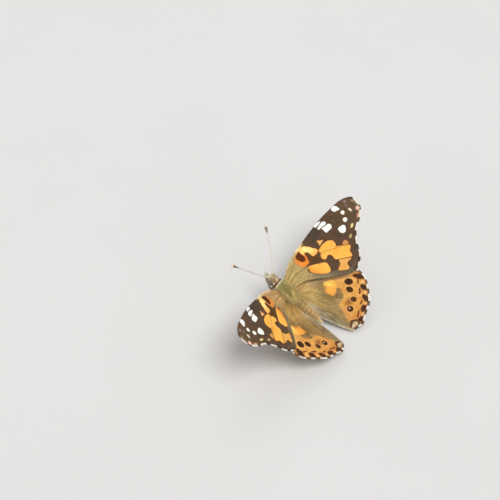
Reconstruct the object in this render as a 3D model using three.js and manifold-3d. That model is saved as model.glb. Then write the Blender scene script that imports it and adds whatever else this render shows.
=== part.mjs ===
// Painted lady butterfly (Vanessa cardui), life size, standing with its wings held open in a
// shallow V. Units are millimetres, +Z is up and the floor is z = 0. The head points along -Y and
// the insect's own left side is +X. The origin is the middle of the base of the whole box, on the
// floor under the abdomen.
//
// Places on the body are given as (out, fwd, up): outward from the midline, forward along the
// insect's heading and up from the middle of the thorax.
import * as THREE from 'three';
import Module from 'manifold-3d';
import { mergeVertices } from 'three/addons/utils/BufferGeometryUtils.js';

const wasm = await Module();
wasm.setup();

// ---------------------------------------------------------------- driving dimensions
const STAND_HEIGHT = 7.2;        // middle of the thorax above the floor
const ORIGIN_BACK = 4.32;        // the origin lies this far behind the middle of the thorax
const BODY_PITCH = 29.5;         // degrees, head up
const ABDOMEN_PITCH = 23.5;      // degrees, the abdomen droops a little from the thorax line
const THORAX_REAR = -3.3;        // stations along the body line, from the middle of the thorax
const COLLAR_FRONT = 3.62;
const HEAD_CENTRE = 5.0;
const ABDOMEN_LENGTH = 9.3;
const SEAM = 0.06;               // clearance where one piece meets the next
const WAIST_GAP = 0.14;          // the same at the waist, where the body line bends

const WING_THICKNESS = 0.5;
const FOREWING_DIHEDRAL = 29.0;  // degrees, tips up
const FOREWING_PITCH = 27.9;     // degrees, leading edge up
const FOREWING_DEPTH = -0.633;   // distance of the wing's plane from the middle of the thorax
const HINDWING_DIHEDRAL = 19.5;
const HINDWING_PITCH = 12.3;
const HINDWING_DEPTH = -2.686;

const ANTENNA_BASE = [0.53, 4.7, 3.76];
const ANTENNA_TIP = [8.77, 12.4, 12.3];
const ANTENNA_RADIUS = 0.26;
const CLUB_LENGTH = 2.3;
const CLUB_RADIUS = 0.47;

// ---------------------------------------------------------------- small tools
const rad = (d) => (d * Math.PI) / 180;
const lerp = (a, b, t) => a + (b - a) * t;
const smooth = (a, b, x) => {
  const t = Math.min(1, Math.max(0, (x - a) / (b - a)));
  return t * t * (3 - 2 * t);
};
const at = (side, out, fwd, up) => new THREE.Vector3(side * out, -fwd - ORIGIN_BACK, up + STAND_HEIGHT);

// piecewise-linear table lookup, for profiles given at named stations
function table(rows, x, col = 1) {
  if (x <= rows[0][0]) return rows[0][col];
  for (let i = 1; i < rows.length; i++) {
    if (x <= rows[i][0]) {
      const [p, q] = [rows[i - 1], rows[i]];
      const t = (x - p[0]) / (q[0] - p[0]);
      const s = t * t * (3 - 2 * t) * 0.35 + t * 0.65;
      return lerp(p[col], q[col], s);
    }
  }
  return rows[rows.length - 1][col];
}

// a closed body from points and triangles, its faces turned outward
function closedBody(points, tris) {
  let v = 0;
  for (const [a, b, c] of tris) v += points[a].dot(new THREE.Vector3().crossVectors(points[b], points[c]));
  const geo = new THREE.BufferGeometry();
  const flat = new Float32Array(points.length * 3);
  points.forEach((p, i) => flat.set([p.x, p.y, p.z], i * 3));
  geo.setAttribute('position', new THREE.BufferAttribute(flat, 3));
  geo.setIndex((v < 0 ? tris.map(([a, b, c]) => [a, c, b]) : tris).flat());
  return geo;
}

// skin over a row of rings with equal point counts, capped at both ends
function loft(rings, tipStart = null, tipEnd = null) {
  const n = rings[0].length;
  const pts = rings.flat();
  const tris = [];
  for (let r = 0; r + 1 < rings.length; r++) {
    for (let i = 0; i < n; i++) {
      const j = (i + 1) % n;
      const [a, b, c, d] = [r * n + i, r * n + j, (r + 1) * n + i, (r + 1) * n + j];
      tris.push([a, b, d], [a, d, c]);
    }
  }
  const centre = (ring) => ring.reduce((s, p) => s.add(p), new THREE.Vector3()).divideScalar(n);
  const s = pts.push(tipStart ?? centre(rings[0])) - 1;
  const e = pts.push(tipEnd ?? centre(rings[rings.length - 1])) - 1;
  const last = (rings.length - 1) * n;
  for (let i = 0; i < n; i++) {
    const j = (i + 1) % n;
    tris.push([s, j, i], [e, last + i, last + j]);
  }
  return closedBody(pts, tris);
}

// round limb along a smooth curve, with its radius given along it; nothing goes below the floor
function limb(points, radius, steps, sides = 8, floor = -1e9) {
  const curve = new THREE.CatmullRomCurve3(points, false, 'centripetal');
  const rings = [];
  const up = new THREE.Vector3(0, 0, 1);
  for (let k = 0; k <= steps; k++) {
    const t = k / steps;
    const c = curve.getPointAt(t);
    const d = curve.getTangentAt(t);
    const x = new THREE.Vector3().crossVectors(d, up).normalize();
    const y = new THREE.Vector3().crossVectors(x, d).normalize();
    const r = radius(t);
    const ring = [];
    for (let i = 0; i < sides; i++) {
      const w = ((i + 0.5) / sides) * 2 * Math.PI;
      const p = c.clone().addScaledVector(x, r * Math.cos(w)).addScaledVector(y, r * Math.sin(w));
      p.z = Math.max(p.z, floor);
      ring.push(p);
    }
    rings.push(ring);
  }
  return loft(rings);
}

function toSolid(geo) {
  const g = geo.clone();
  for (const name of Object.keys(g.attributes)) if (name !== 'position') g.deleteAttribute(name);
  const m = mergeVertices(g, 1e-5);
  return new wasm.Manifold(new wasm.Mesh({
    numProp: 3,
    vertProperties: Float32Array.from(m.attributes.position.array),
    triVerts: Uint32Array.from(m.index.array),
  }));
}

function toGeometry(solid) {
  const m = solid.getMesh();
  const geo = new THREE.BufferGeometry();
  geo.setAttribute('position', new THREE.BufferAttribute(Float32Array.from(m.vertProperties), 3));
  geo.setIndex(Array.from(m.triVerts));
  return geo;
}

// ellipsoid with its own axes, rows of points joined at both poles
function ellipsoid(centre, half, pitch, rows = 8, sides = 14) {
  const c = Math.cos(rad(pitch));
  const s = Math.sin(rad(pitch));
  const place = (x, f, u) => new THREE.Vector3(
    centre.x + x * half[0], centre.y - (f * half[1] * c - u * half[2] * s), centre.z + f * half[1] * s + u * half[2] * c);
  const rings = [];
  for (let k = 1; k < rows; k++) {
    const a = (k / rows) * Math.PI;
    const ring = [];
    for (let i = 0; i < sides; i++) {
      const w = (i / sides) * 2 * Math.PI;
      ring.push(place(Math.cos(w) * Math.sin(a), Math.cos(a), Math.sin(w) * Math.sin(a)));
    }
    rings.push(ring);
  }
  return loft(rings, place(0, 1, 0), place(0, -1, 0));
}

// ---------------------------------------------------------------- the body line
// station s runs along the middle of the body; behind the thorax it droops less steeply
function bodyLine(s) {
  const [c, d] = [Math.cos(rad(BODY_PITCH)), Math.sin(rad(BODY_PITCH))];
  if (s >= THORAX_REAR) return [c * s, d * s, BODY_PITCH];
  const x = THORAX_REAR - s;
  return [c * THORAX_REAR - Math.cos(rad(ABDOMEN_PITCH)) * x, d * THORAX_REAR - Math.sin(rad(ABDOMEN_PITCH)) * x, ABDOMEN_PITCH];
}

// ring across the body line: half width, half height above and below the line
function bodyRing(s, width, above, below, sides = 20, lift = 0) {
  const [fwd, up, pitch] = bodyLine(s);
  const [c, d] = [Math.cos(rad(pitch)), Math.sin(rad(pitch))];
  const ring = [];
  for (let i = 0; i < sides; i++) {
    const w = (i / sides) * 2 * Math.PI;
    const v = Math.sin(w) * (Math.sin(w) > 0 ? above : below) + lift;
    ring.push(at(1, width * Math.cos(w), fwd - v * d, up + v * c));
  }
  return ring;
}

// station, half width, half height above, half height below
const THORAX = [
  [-3.3, 1.16, 1.12, 1.2], [-2.8, 1.5, 1.42, 1.5], [-2.0, 1.82, 1.85, 1.85], [-1.0, 2.06, 2.2, 2.1],
  [0.1, 2.12, 2.36, 2.2], [1.1, 2.0, 2.2, 2.15], [1.9, 1.86, 1.84, 1.95], [2.4, 1.8, 1.62, 1.72], [2.8, 1.78, 1.44, 1.55],
  [3.2, 1.76, 1.34, 1.42], [3.5, 1.68, 1.24, 1.3], [3.62, 1.5, 1.1, 1.14],                       // the collar, up to the head
];

function bodyPiece(rows, steps, sides) {
  const rings = [];
  for (let k = 0; k <= steps; k++) {
    const s = lerp(rows[0][0], rows[rows.length - 1][0], k / steps);
    rings.push(bodyRing(s, table(rows, s, 1), table(rows, s, 2), table(rows, s, 3), sides));
  }
  return loft(rings);
}

// the abdomen swells a little behind the waist, has a shallow groove between its rings and a blunt tip
function abdomen() {
  const rings = [];
  const steps = 24;
  for (let k = 0; k <= steps; k++) {
    const t = k / steps;
    const s = THORAX_REAR - WAIST_GAP - t * (ABDOMEN_LENGTH - WAIST_GAP);
    const swell = 1.08 + 0.2 * Math.sin(Math.PI * Math.min(1, t * 1.25)) - 0.16 * t;
    const tip = Math.sqrt(Math.max(0.02, 1 - Math.pow(smooth(0.55, 1.02, t) * 0.97, 2.2)));
    const groove = 1 - 0.028 * (0.5 + 0.5 * Math.cos(t * 8 * 2 * Math.PI));
    const r = swell * tip * groove;
    rings.push(bodyRing(s, r, r * 0.98, r * 1.05, 16));
  }
  return loft(rings);
}

// ---------------------------------------------------------------- head
function eye(side, grow = 0) {
  const c = at(side, 1.08, 4.62, 2.42);
  return ellipsoid(c, [0.6 + grow, 0.88 + grow, 0.98 + grow], 20, 8, 14);
}

const PALP = (side) => [at(side, 0.58, 4.95, 1.05), at(side, 0.64, 5.68, 1.3), at(side, 0.5, 6.18, 2.2), at(side, 0.38, 6.6, 3.25), at(side, 0.28, 7.0, 4.22)];
function palp(side, grow = 0) {
  const r = (t) => (grow + table([[0, 0.28], [0.25, 0.36], [0.5, 0.38], [0.75, 0.36], [0.92, 0.26], [1, 0.14]], t));
  return limb(PALP(side), r, 9, 8);
}

// the coiled tongue, a flat spiral held between the palps: one disc with a rounded rim
function tongue(grow = 0) {
  const c = at(1, 0, 5.72, 1.02);
  const rings = [];
  const outer = 0.62 + grow;
  const half = 0.24 + grow;
  const profile = [[-half, outer * 0.55], [-half * 0.75, outer * 0.9], [0, outer], [half * 0.75, outer * 0.9], [half, outer * 0.55]];
  for (const [x, r] of profile) {
    const ring = [];
    for (let i = 0; i < 14; i++) {
      const w = (i / 14) * 2 * Math.PI;
      ring.push(new THREE.Vector3(c.x + x, c.y + r * Math.cos(w), c.z + r * Math.sin(w)));
    }
    rings.push(ring);
  }
  return loft(rings);
}

function head() {
  const [fwd, up] = bodyLine(HEAD_CENTRE);
  let solid = toSolid(ellipsoid(at(1, 0, fwd - 0.12, up + 0.05), [1.34, 1.16, 1.42], 24, 12, 20));
  for (const side of [1, -1]) {
    solid = solid.subtract(toSolid(eye(side, 0.05)));
    solid = solid.subtract(toSolid(palp(side, 0.05)));
  }
  solid = solid.subtract(toSolid(tongue(0.05)));
  // the collar's front face cuts the back of the head
  const [nf, nu, np] = bodyLine(COLLAR_FRONT + SEAM);
  const cut = new THREE.BoxGeometry(6, 6, 6);
  cut.translate(0, 3, 0);
  cut.rotateX(rad(-np));
  const o = at(1, 0, nf, nu);
  cut.translate(o.x, o.y, o.z);
  solid = solid.subtract(toSolid(cut));
  return toGeometry(solid);
}

// ---------------------------------------------------------------- antennae
// a straight, slightly bowed shaft that leans out, forward and up, with a long club
function antennaPoint(side, t) {
  const bow = 0.35 * Math.sin(Math.PI * t);
  return at(side,
    lerp(ANTENNA_BASE[0], ANTENNA_TIP[0], t) + bow * 0.4,
    lerp(ANTENNA_BASE[1], ANTENNA_TIP[1], t) - bow * 0.8,
    lerp(ANTENNA_BASE[2], ANTENNA_TIP[2], t) + bow * 0.3);
}
const ANTENNA_LENGTH = Math.hypot(...ANTENNA_TIP.map((v, i) => v - ANTENNA_BASE[i]));
const CLUB_START = 1 - CLUB_LENGTH / ANTENNA_LENGTH;
const between = (side, a, b, n) => Array.from({ length: n }, (_, i) => antennaPoint(side, lerp(a, b, i / (n - 1))));
const shaft = (side) => limb(between(side, 0, CLUB_START - 0.003, 7), () => ANTENNA_RADIUS, 10, 8);
const club = (side) => limb(between(side, CLUB_START + 0.003, 1, 4),
  (t) => table([[0, 0.26], [0.25, 0.34], [0.6, CLUB_RADIUS], [0.85, 0.42], [0.97, 0.24], [1, 0.12]], t), 9, 10);

// ---------------------------------------------------------------- wings
// A wing is drawn in its own plane: p runs outward along the wing, q runs forward, both from the
// body's middle. The outline passes through the ends of the veins, in order round the wing.
const FOREWING = [
  [2.62, 2.25],                                                    // front of the root
  [4.3, 2.8], [7.6, 3.4], [10.6, 3.32], [13.6, 2.85], [17.4, 2.28],   // costa
  [20.9, 1.68], [23.8, 0.98], [26.6, 0.06],                           // Sc and R1 on the costa
  [29.4, -0.95], [31.2, -2.1],                                        // R2, R3
  [32.4, -3.4], [32.6, -4.8], [32.1, -6.2], [31.2, -7.45],            // R4 and R5, the drawn-out tip
  [29.6, -8.3], [27.7, -8.8], [25.7, -9.1], [24.2, -9.7],             // M1 and M2, the bay below the tip
  [22.85, -10.6], [21.2, -11.9], [20.0, -13.2], [18.3, -14.0],        // M3, Cu1
  [16.7, -14.5], [15.3, -14.35], [14.2, -13.9],                       // Cu2 and the hind corner
  [12.0, -11.7], [10.15, -9.4], [8.5, -7.1], [7.0, -4.9], [5.2, -2.9], // inner margin
  [3.3, -1.8], [2.4, -1.3],                                           // rear of the root
];
const HINDWING = [
  [1.58, -1.2],                                                    // front of the root
  [3.4, -0.9], [6.4, -1.9], [9.7, -4.0], [12.7, -6.6], [15.0, -9.3],  // costa, under the forewing
  [16.5, -11.9], [16.7, -14.1], [16.0, -16.2],                        // Rs, the front corner
  [14.9, -17.3], [13.5, -18.5], [12.0, -19.6], [10.5, -20.6],         // M1, M2
  [8.9, -21.15], [7.0, -21.4], [5.2, -21.85], [3.4, -22.2],           // M3, Cu1, Cu2
  [2.0, -21.6], [0.7, -20.9], [0.35, -19.6],                          // the anal corner
  [0.25, -17.8], [0.1, -15.6], [-0.1, -13.2], [-0.2, -11.0],          // inner margin
  [-0.08, -8.6], [0.12, -6.4], [0.38, -4.6], [1.05, -3.2],            // beside the abdomen
];

// height of the wing's middle surface over its plane
const forewingCamber = (p, q) => 0.3 * Math.sin(Math.PI * Math.min(1, Math.max(0, p / 32))) - 0.12 * smooth(0.5, 3.5, q + 0.06 * (p - 8)) - 0.15;
const hindwingCamber = (p, q) => {
  const root = Math.hypot(p - 1.4, q + 2.2);
  return 1.1 * Math.exp(-((root / 4.2) ** 2)) - 0.25 * smooth(11, 17, p) + 0.12 * Math.sin(Math.PI * Math.min(1, root / 19));
};

function wing(side, outline, middle, dihedral, pitch, depth, camber) {
  const [sd, cd] = [Math.sin(rad(dihedral)), Math.cos(rad(dihedral))];
  const [sp, cp] = [Math.sin(rad(pitch)), Math.cos(rad(pitch))];
  const place = (p, q, h) => {
    const n = depth + camber(p, q) + h;
    return at(side, p * cd - q * sp * sd - n * sd * cp, q * cp - n * sp, p * sd + q * sp * cd + n * cd * cp);
  };
  const loop = new THREE.CatmullRomCurve3(outline.map(([p, q]) => new THREE.Vector3(p, q, 0)), true, 'centripetal');
  const N = outline.length * 2;
  const edge = Array.from({ length: N }, (_, i) => loop.getPoint(i / N));
  const shares = [1, 0.8, 0.52, 0.22];
  const pts = [];
  const tris = [];
  const faces = [WING_THICKNESS / 2, -WING_THICKNESS / 2].map((h) => {
    const start = pts.length;
    for (const f of shares) for (const e of edge) pts.push(place(lerp(middle[0], e.x, f), lerp(middle[1], e.y, f), h));
    pts.push(place(middle[0], middle[1], h));
    return start;
  });
  faces.forEach((start, side2) => {
    const add = (a, b, c) => tris.push(side2 ? [a, c, b] : [a, b, c]);
    for (let r = 0; r + 1 < shares.length; r++) {
      for (let i = 0; i < N; i++) {
        const j = (i + 1) % N;
        const [a, b, c, d] = [start + r * N + i, start + r * N + j, start + (r + 1) * N + i, start + (r + 1) * N + j];
        add(a, b, d);
        add(a, d, c);
      }
    }
    const lastRing = start + (shares.length - 1) * N;
    for (let i = 0; i < N; i++) add(lastRing + i, lastRing + ((i + 1) % N), start + shares.length * N);
  });
  for (let i = 0; i < N; i++) {
    const j = (i + 1) % N;
    const [a, b, c, d] = [faces[0] + i, faces[0] + j, faces[1] + i, faces[1] + j];
    tris.push([a, c, d], [a, d, b]);
  }
  return closedBody(pts, tris);
}

// ---------------------------------------------------------------- legs
// Brush-footed: the forelegs are short and folded under the head, and it stands on the other four.
// Joint places are (out, fwd, height over the floor).
const LEGS = {
  midleg: { hip: [1.0, 0.9, 5.2], knee: [4.1, 3.3, 5.0], ankle: [6.0, 4.9, 1.5], heel: [6.6, 5.5, 0.27], toe: [8.2, 7.3, 0.22] },
  hindleg: { hip: [0.9, -1.25, 4.45], knee: [3.7, -3.9, 3.35], ankle: [4.9, -7.3, 1.35], heel: [5.2, -8.3, 0.27], toe: [5.9, -10.9, 0.22] },
};
const foot = (side, [out, fwd, z]) => new THREE.Vector3(side * out, -fwd - ORIGIN_BACK, z);
function along(a, b, t) {
  return a.clone().lerp(b, t);
}
// each joint keeps a short gap between the two lengths of leg
function segment(a, b, mid, r0, r1, steps, gap = 0.02) {
  const m = along(a, b, 0.5).add(mid);
  return limb([along(a, b, gap), m, along(a, b, 1 - gap)], (t) => lerp(r0, r1, t) + 0.06 * Math.sin(Math.PI * t), steps, 8);
}
function tarsus(side, leg) {
  const pts = [foot(side, leg.ankle), foot(side, leg.heel), along(foot(side, leg.heel), foot(side, leg.toe), 0.5), foot(side, leg.toe)];
  pts[0] = along(pts[0], pts[1], 0.05);
  return limb(pts, (t) => table([[0, 0.25], [0.5, 0.27], [0.9, 0.3], [1, 0.26]], t), 10, 8, 0);
}
const FORELEG = (side) => [at(side, 0.75, 2.7, -1.15), at(side, 1.0, 3.6, -0.75), at(side, 0.95, 4.5, -0.15), at(side, 0.8, 5.2, 0.25)];

// ---------------------------------------------------------------- the model
const finish = (color, roughness = 0.9, metalness = 0) => new THREE.MeshStandardMaterial({ color, roughness, metalness });
const wingTop = finish(0xc8742a, 0.85);
const hairBrown = finish(0x7d6a42, 0.95);
const shell = finish(0x5b4a35, 0.7);
const eyeShell = finish(0x3a2a1e, 0.3);

const model = new THREE.Group();
function add(name, geometry, material) {
  const mesh = new THREE.Mesh(geometry, material);
  mesh.name = name;
  model.add(mesh);
}

add('thorax', bodyPiece(THORAX, 19, 22), hairBrown);
add('abdomen', abdomen(), hairBrown);
add('head', head(), hairBrown);
add('tongue', tongue(), shell);
for (const [side, name] of [[1, 'left'], [-1, 'right']]) {
  add(`eye_${name}`, eye(side), eyeShell);
  add(`palp_${name}`, palp(side), hairBrown);
  add(`antenna_${name}`, shaft(side), shell);
  add(`antenna_club_${name}`, club(side), shell);
  add(`forewing_${name}`, wing(side, FOREWING, [17.5, -4.6], FOREWING_DIHEDRAL, FOREWING_PITCH, FOREWING_DEPTH, forewingCamber), wingTop);
  add(`hindwing_${name}`, wing(side, HINDWING, [7.6, -11.6], HINDWING_DIHEDRAL, HINDWING_PITCH, HINDWING_DEPTH, hindwingCamber), wingTop);
  add(`foreleg_${name}`, limb(FORELEG(side), (t) => table([[0, 0.27], [0.5, 0.3], [1, 0.2]], t), 6, 8), hairBrown);
  for (const [leg, j] of Object.entries(LEGS)) {
    const [hip, knee, ankle] = [foot(side, j.hip), foot(side, j.knee), foot(side, j.ankle)];
    add(`${leg}_femur_${name}`, segment(hip, knee, new THREE.Vector3(0, 0, 0.15), 0.42, 0.3, 5, 0.04), hairBrown);
    add(`${leg}_tibia_${name}`, segment(knee, ankle, new THREE.Vector3(side * 0.1, 0, 0.1), 0.29, 0.26, 5, 0.035), shell);
    add(`${leg}_tarsus_${name}`, tarsus(side, j), shell);
  }
}

export default model;
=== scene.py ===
"""Painted lady butterfly (Vanessa cardui), life size: wings, skin, hair, eyes, feelers and legs."""
import math

import bpy
import numpy as np
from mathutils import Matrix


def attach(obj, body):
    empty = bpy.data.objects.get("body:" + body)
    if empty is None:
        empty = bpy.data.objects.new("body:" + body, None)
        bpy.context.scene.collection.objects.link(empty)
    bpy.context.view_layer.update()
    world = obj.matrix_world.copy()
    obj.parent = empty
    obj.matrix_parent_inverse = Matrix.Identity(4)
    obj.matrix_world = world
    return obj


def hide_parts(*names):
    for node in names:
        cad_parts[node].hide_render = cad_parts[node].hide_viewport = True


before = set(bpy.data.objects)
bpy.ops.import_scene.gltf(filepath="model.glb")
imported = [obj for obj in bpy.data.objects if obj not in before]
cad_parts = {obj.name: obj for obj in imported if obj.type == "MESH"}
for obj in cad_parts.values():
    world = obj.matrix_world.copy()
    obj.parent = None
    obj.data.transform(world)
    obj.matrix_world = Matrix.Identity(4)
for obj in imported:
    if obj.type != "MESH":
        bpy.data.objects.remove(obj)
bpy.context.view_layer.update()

MM = 0.001

# ------------------------------------------------------------------ sizes shared with the solids
STAND, BACK = 7.2, 4.32                       # middle of the thorax: height, distance in front of the origin
BODY_PITCH, ABDOMEN_PITCH = 29.5, 23.5
THORAX_REAR, COLLAR_FRONT, HEAD_CENTRE, ABDOMEN_LENGTH = -3.3, 3.62, 5.0, 9.3
FORE = dict(dihedral=29.0, pitch=27.9, depth=-0.633)
HIND = dict(dihedral=19.5, pitch=12.3, depth=-2.686)


def rad(d):
    return d * math.pi / 180.0


def smooth(a, b, x):
    t = np.clip((np.asarray(x, float) - a) / (b - a), 0.0, 1.0)
    return t * t * (3 - 2 * t)


def at(side, out, fwd, up):
    """Place on the body, in mm: outward on that side, forward and up from the middle of the thorax."""
    out, fwd, up = np.broadcast_arrays(np.asarray(out, float), np.asarray(fwd, float), np.asarray(up, float))
    return np.stack([side * out, -fwd - BACK, up + STAND], -1)


# ------------------------------------------------------------------ noise, seeded and repeatable
def _hash(ix, iy, seed):
    n = (ix.astype(np.int64) * 374761393 + iy.astype(np.int64) * 668265263 + seed * 974126177) & 0xFFFFFFFF
    n = ((n ^ (n >> 13)) * 1274126177) & 0xFFFFFFFF
    n = n ^ (n >> 16)
    return (n & 0xFFFFFF) / float(0xFFFFFF)


def noise(x, y, seed=0):
    x, y = np.asarray(x, float), np.asarray(y, float)
    x0, y0 = np.floor(x), np.floor(y)
    fx, fy = x - x0, y - y0
    u, v = fx * fx * (3 - 2 * fx), fy * fy * (3 - 2 * fy)
    a, b = _hash(x0, y0, seed), _hash(x0 + 1, y0, seed)
    c, d = _hash(x0, y0 + 1, seed), _hash(x0 + 1, y0 + 1, seed)
    return 2 * ((a + (b - a) * u) * (1 - v) + (c + (d - c) * u) * v) - 1


def fbm(x, y, seed=0, octaves=3):
    total, amp, norm = 0.0, 1.0, 0.0
    for k in range(octaves):
        total = total + amp * noise(x * 2 ** k, y * 2 ** k, seed + 17 * k)
        norm += amp
        amp *= 0.5
    return total / norm


# ------------------------------------------------------------------ curves, loops and marks in a plane
def curve(points, closed=False, n=8):
    """Centripetal Catmull-Rom curve through the points, n steps to each span."""
    P = np.asarray(points, float)
    m = len(P)
    out = []
    spans = m if closed else m - 1
    for i in range(spans):
        if closed:
            p0, p1, p2, p3 = P[(i - 1) % m], P[i], P[(i + 1) % m], P[(i + 2) % m]
        else:
            p1, p2 = P[i], P[i + 1]
            p0 = P[i - 1] if i else 2 * p1 - p2
            p3 = P[i + 2] if i + 2 < m else 2 * p2 - p1
        t0 = 0.0
        t1 = t0 + max(1e-6, np.linalg.norm(p1 - p0)) ** 0.5
        t2 = t1 + max(1e-6, np.linalg.norm(p2 - p1)) ** 0.5
        t3 = t2 + max(1e-6, np.linalg.norm(p3 - p2)) ** 0.5
        t = np.linspace(t1, t2, n, endpoint=False)[:, None]
        a1 = (t1 - t) / (t1 - t0) * p0 + (t - t0) / (t1 - t0) * p1
        a2 = (t2 - t) / (t2 - t1) * p1 + (t - t1) / (t2 - t1) * p2
        a3 = (t3 - t) / (t3 - t2) * p2 + (t - t2) / (t3 - t2) * p3
        b1 = (t2 - t) / (t2 - t0) * a1 + (t - t0) / (t2 - t0) * a2
        b2 = (t3 - t) / (t3 - t1) * a2 + (t - t1) / (t3 - t1) * a3
        out.append((t2 - t) / (t2 - t1) * b1 + (t - t1) / (t2 - t1) * b2)
    if not closed:
        out.append(P[-1:])
    return np.concatenate(out)


def resample(line, count):
    d = np.r_[0, np.cumsum(np.linalg.norm(np.diff(line, axis=0), axis=1))]
    t = np.linspace(0, d[-1], count)
    return np.stack([np.interp(t, d, line[:, k]) for k in range(line.shape[1])], -1)


def line_distance(p, q, line, closed=False):
    """Distance from each place to a line, and how far along it the nearest point is, from 0 to 1."""
    a = line
    b = np.roll(line, -1, 0)
    if not closed:
        a, b = line[:-1], line[1:]
    best = np.full(p.shape, 1e9)
    where = np.zeros(p.shape)
    for k in range(len(a)):
        d = b[k] - a[k]
        L = max(1e-12, float(d @ d))
        u = np.clip(((p - a[k][0]) * d[0] + (q - a[k][1]) * d[1]) / L, 0, 1)
        r = (p - a[k][0] - u * d[0]) ** 2 + (q - a[k][1] - u * d[1]) ** 2
        m = r < best
        best = np.where(m, r, best)
        where = np.where(m, (k + u) / len(a), where)
    return np.sqrt(best), where


def inside(p, q, loop):
    a, b = loop, np.roll(loop, -1, 0)
    hit = np.zeros(p.shape, bool)
    for (x0, y0), (x1, y1) in zip(a, b):
        if y0 == y1:
            continue
        m = (y0 > q) != (y1 > q)
        hit ^= m & (p < (x1 - x0) * (q - y0) / (y1 - y0) + x0)
    return hit


def depth_in(p, q, points, margin=0.8, n=6):
    """Signed distance to the edge of a mark: above 0 inside it. Far from it, it is just -margin."""
    loop = curve(points, True, n)
    lo, hi = loop.min(0) - margin, loop.max(0) + margin
    out = np.full(p.shape, -float(margin))
    m = (p > lo[0]) & (p < hi[0]) & (q > lo[1]) & (q < hi[1])
    if m.any():
        pm, qm = p[m], q[m]
        d, _ = line_distance(pm, qm, loop, True)
        out[m] = np.maximum(np.where(inside(pm, qm, loop), d, -d), -margin)
    return out


def mark(p, q, points, soft=0.09):
    return smooth(-soft, soft, depth_in(p, q, points))


def oval(p, q, centre, half, turn=0.0, soft=0.09):
    c, s = math.cos(rad(turn)), math.sin(rad(turn))
    x, y = p - centre[0], q - centre[1]
    u, v = (x * c + y * s) / half[0], (-x * s + y * c) / half[1]
    return smooth(-soft, soft, (1 - np.sqrt(u * u + v * v)) * min(half))


def stroke(p, q, points, width, soft=0.06, n=6, taper=None):
    line = curve(points, False, n)
    d, t = line_distance(p, q, line)
    w = width if taper is None else width * np.interp(t, [0, 1], taper)
    return smooth(soft, -soft, d - w)


def rgb(r, g, b):
    return np.array([r, g, b], float) / 255.0


def over(base, colour, mask):
    """Lays a colour over what is there, as strongly as the mask says."""
    return base + (colour - base) * np.asarray(mask)[..., None]


def linear(c):
    c = np.clip(c, 0, 1)
    return np.where(c <= 0.04045, c / 12.92, ((c + 0.055) / 1.055) ** 2.4)


# ------------------------------------------------------------------ mesh building
def build(name, V, F, material, colour=None, extra=None, uv=None, flat=False, uv_name="OFBake"):
    """Mesh object from places in mm, faces of equal size, a colour for each point and a UV map."""
    V, F = np.asarray(V, float), np.asarray(F, np.int64)
    me = bpy.data.meshes.new(name)
    k = F.shape[1]
    me.vertices.add(len(V))
    me.vertices.foreach_set("co", (V * MM).astype(np.float32).ravel())
    me.loops.add(len(F) * k)
    me.loops.foreach_set("vertex_index", F.astype(np.int32).ravel())
    me.polygons.add(len(F))
    me.polygons.foreach_set("loop_start", np.arange(0, len(F) * k, k, dtype=np.int32))
    me.polygons.foreach_set("use_smooth", np.full(len(F), not flat))
    me.update(calc_edges=True)
    me.validate()
    if colour is not None:
        a = me.color_attributes.new(name="tint", type="FLOAT_COLOR", domain="POINT")
        a.data.foreach_set("color", np.concatenate([linear(colour), np.ones((len(V), 1))], 1).astype(np.float32).ravel())
    for key, values in (extra or {}).items():
        values = np.asarray(values, np.float32)
        kind = "FLOAT" if values.ndim == 1 else "FLOAT_VECTOR"
        a = me.attributes.new(name=key, type=kind, domain="POINT")
        a.data.foreach_set("value" if values.ndim == 1 else "vector", values.ravel())
    if uv is not None:
        layer = me.uv_layers.new(name=uv_name)
        uv = np.asarray(uv, np.float32)
        layer.data.foreach_set("uv", (uv[F.ravel()] if len(uv) == len(V) else uv).ravel())
    ob = bpy.data.objects.new(name, me)
    bpy.context.scene.collection.objects.link(ob)
    me.materials.append(material)
    return ob


# ------------------------------------------------------------------ materials
def new_material(name):
    m = bpy.data.materials.new(name)
    m.use_nodes = True
    t = m.node_tree
    return m, t, t.nodes["Principled BSDF"]


def node(t, kind, **props):
    n = t.nodes.new(kind)
    for key, value in props.items():
        if hasattr(n, key):
            setattr(n, key, value)
        else:
            n.inputs[key].default_value = value
    return n


def mix_rgb(t, a, b, factor, mode="MULTIPLY"):
    n = t.nodes.new("ShaderNodeMix")
    n.data_type = "RGBA"
    n.blend_type = mode
    for socket, value in ((0, factor), (6, a), (7, b)):
        if hasattr(value, "links") or hasattr(value, "is_linked"):
            t.links.new(value, n.inputs[socket])
        else:
            n.inputs[socket].default_value = value
    return n.outputs[2]


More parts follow.
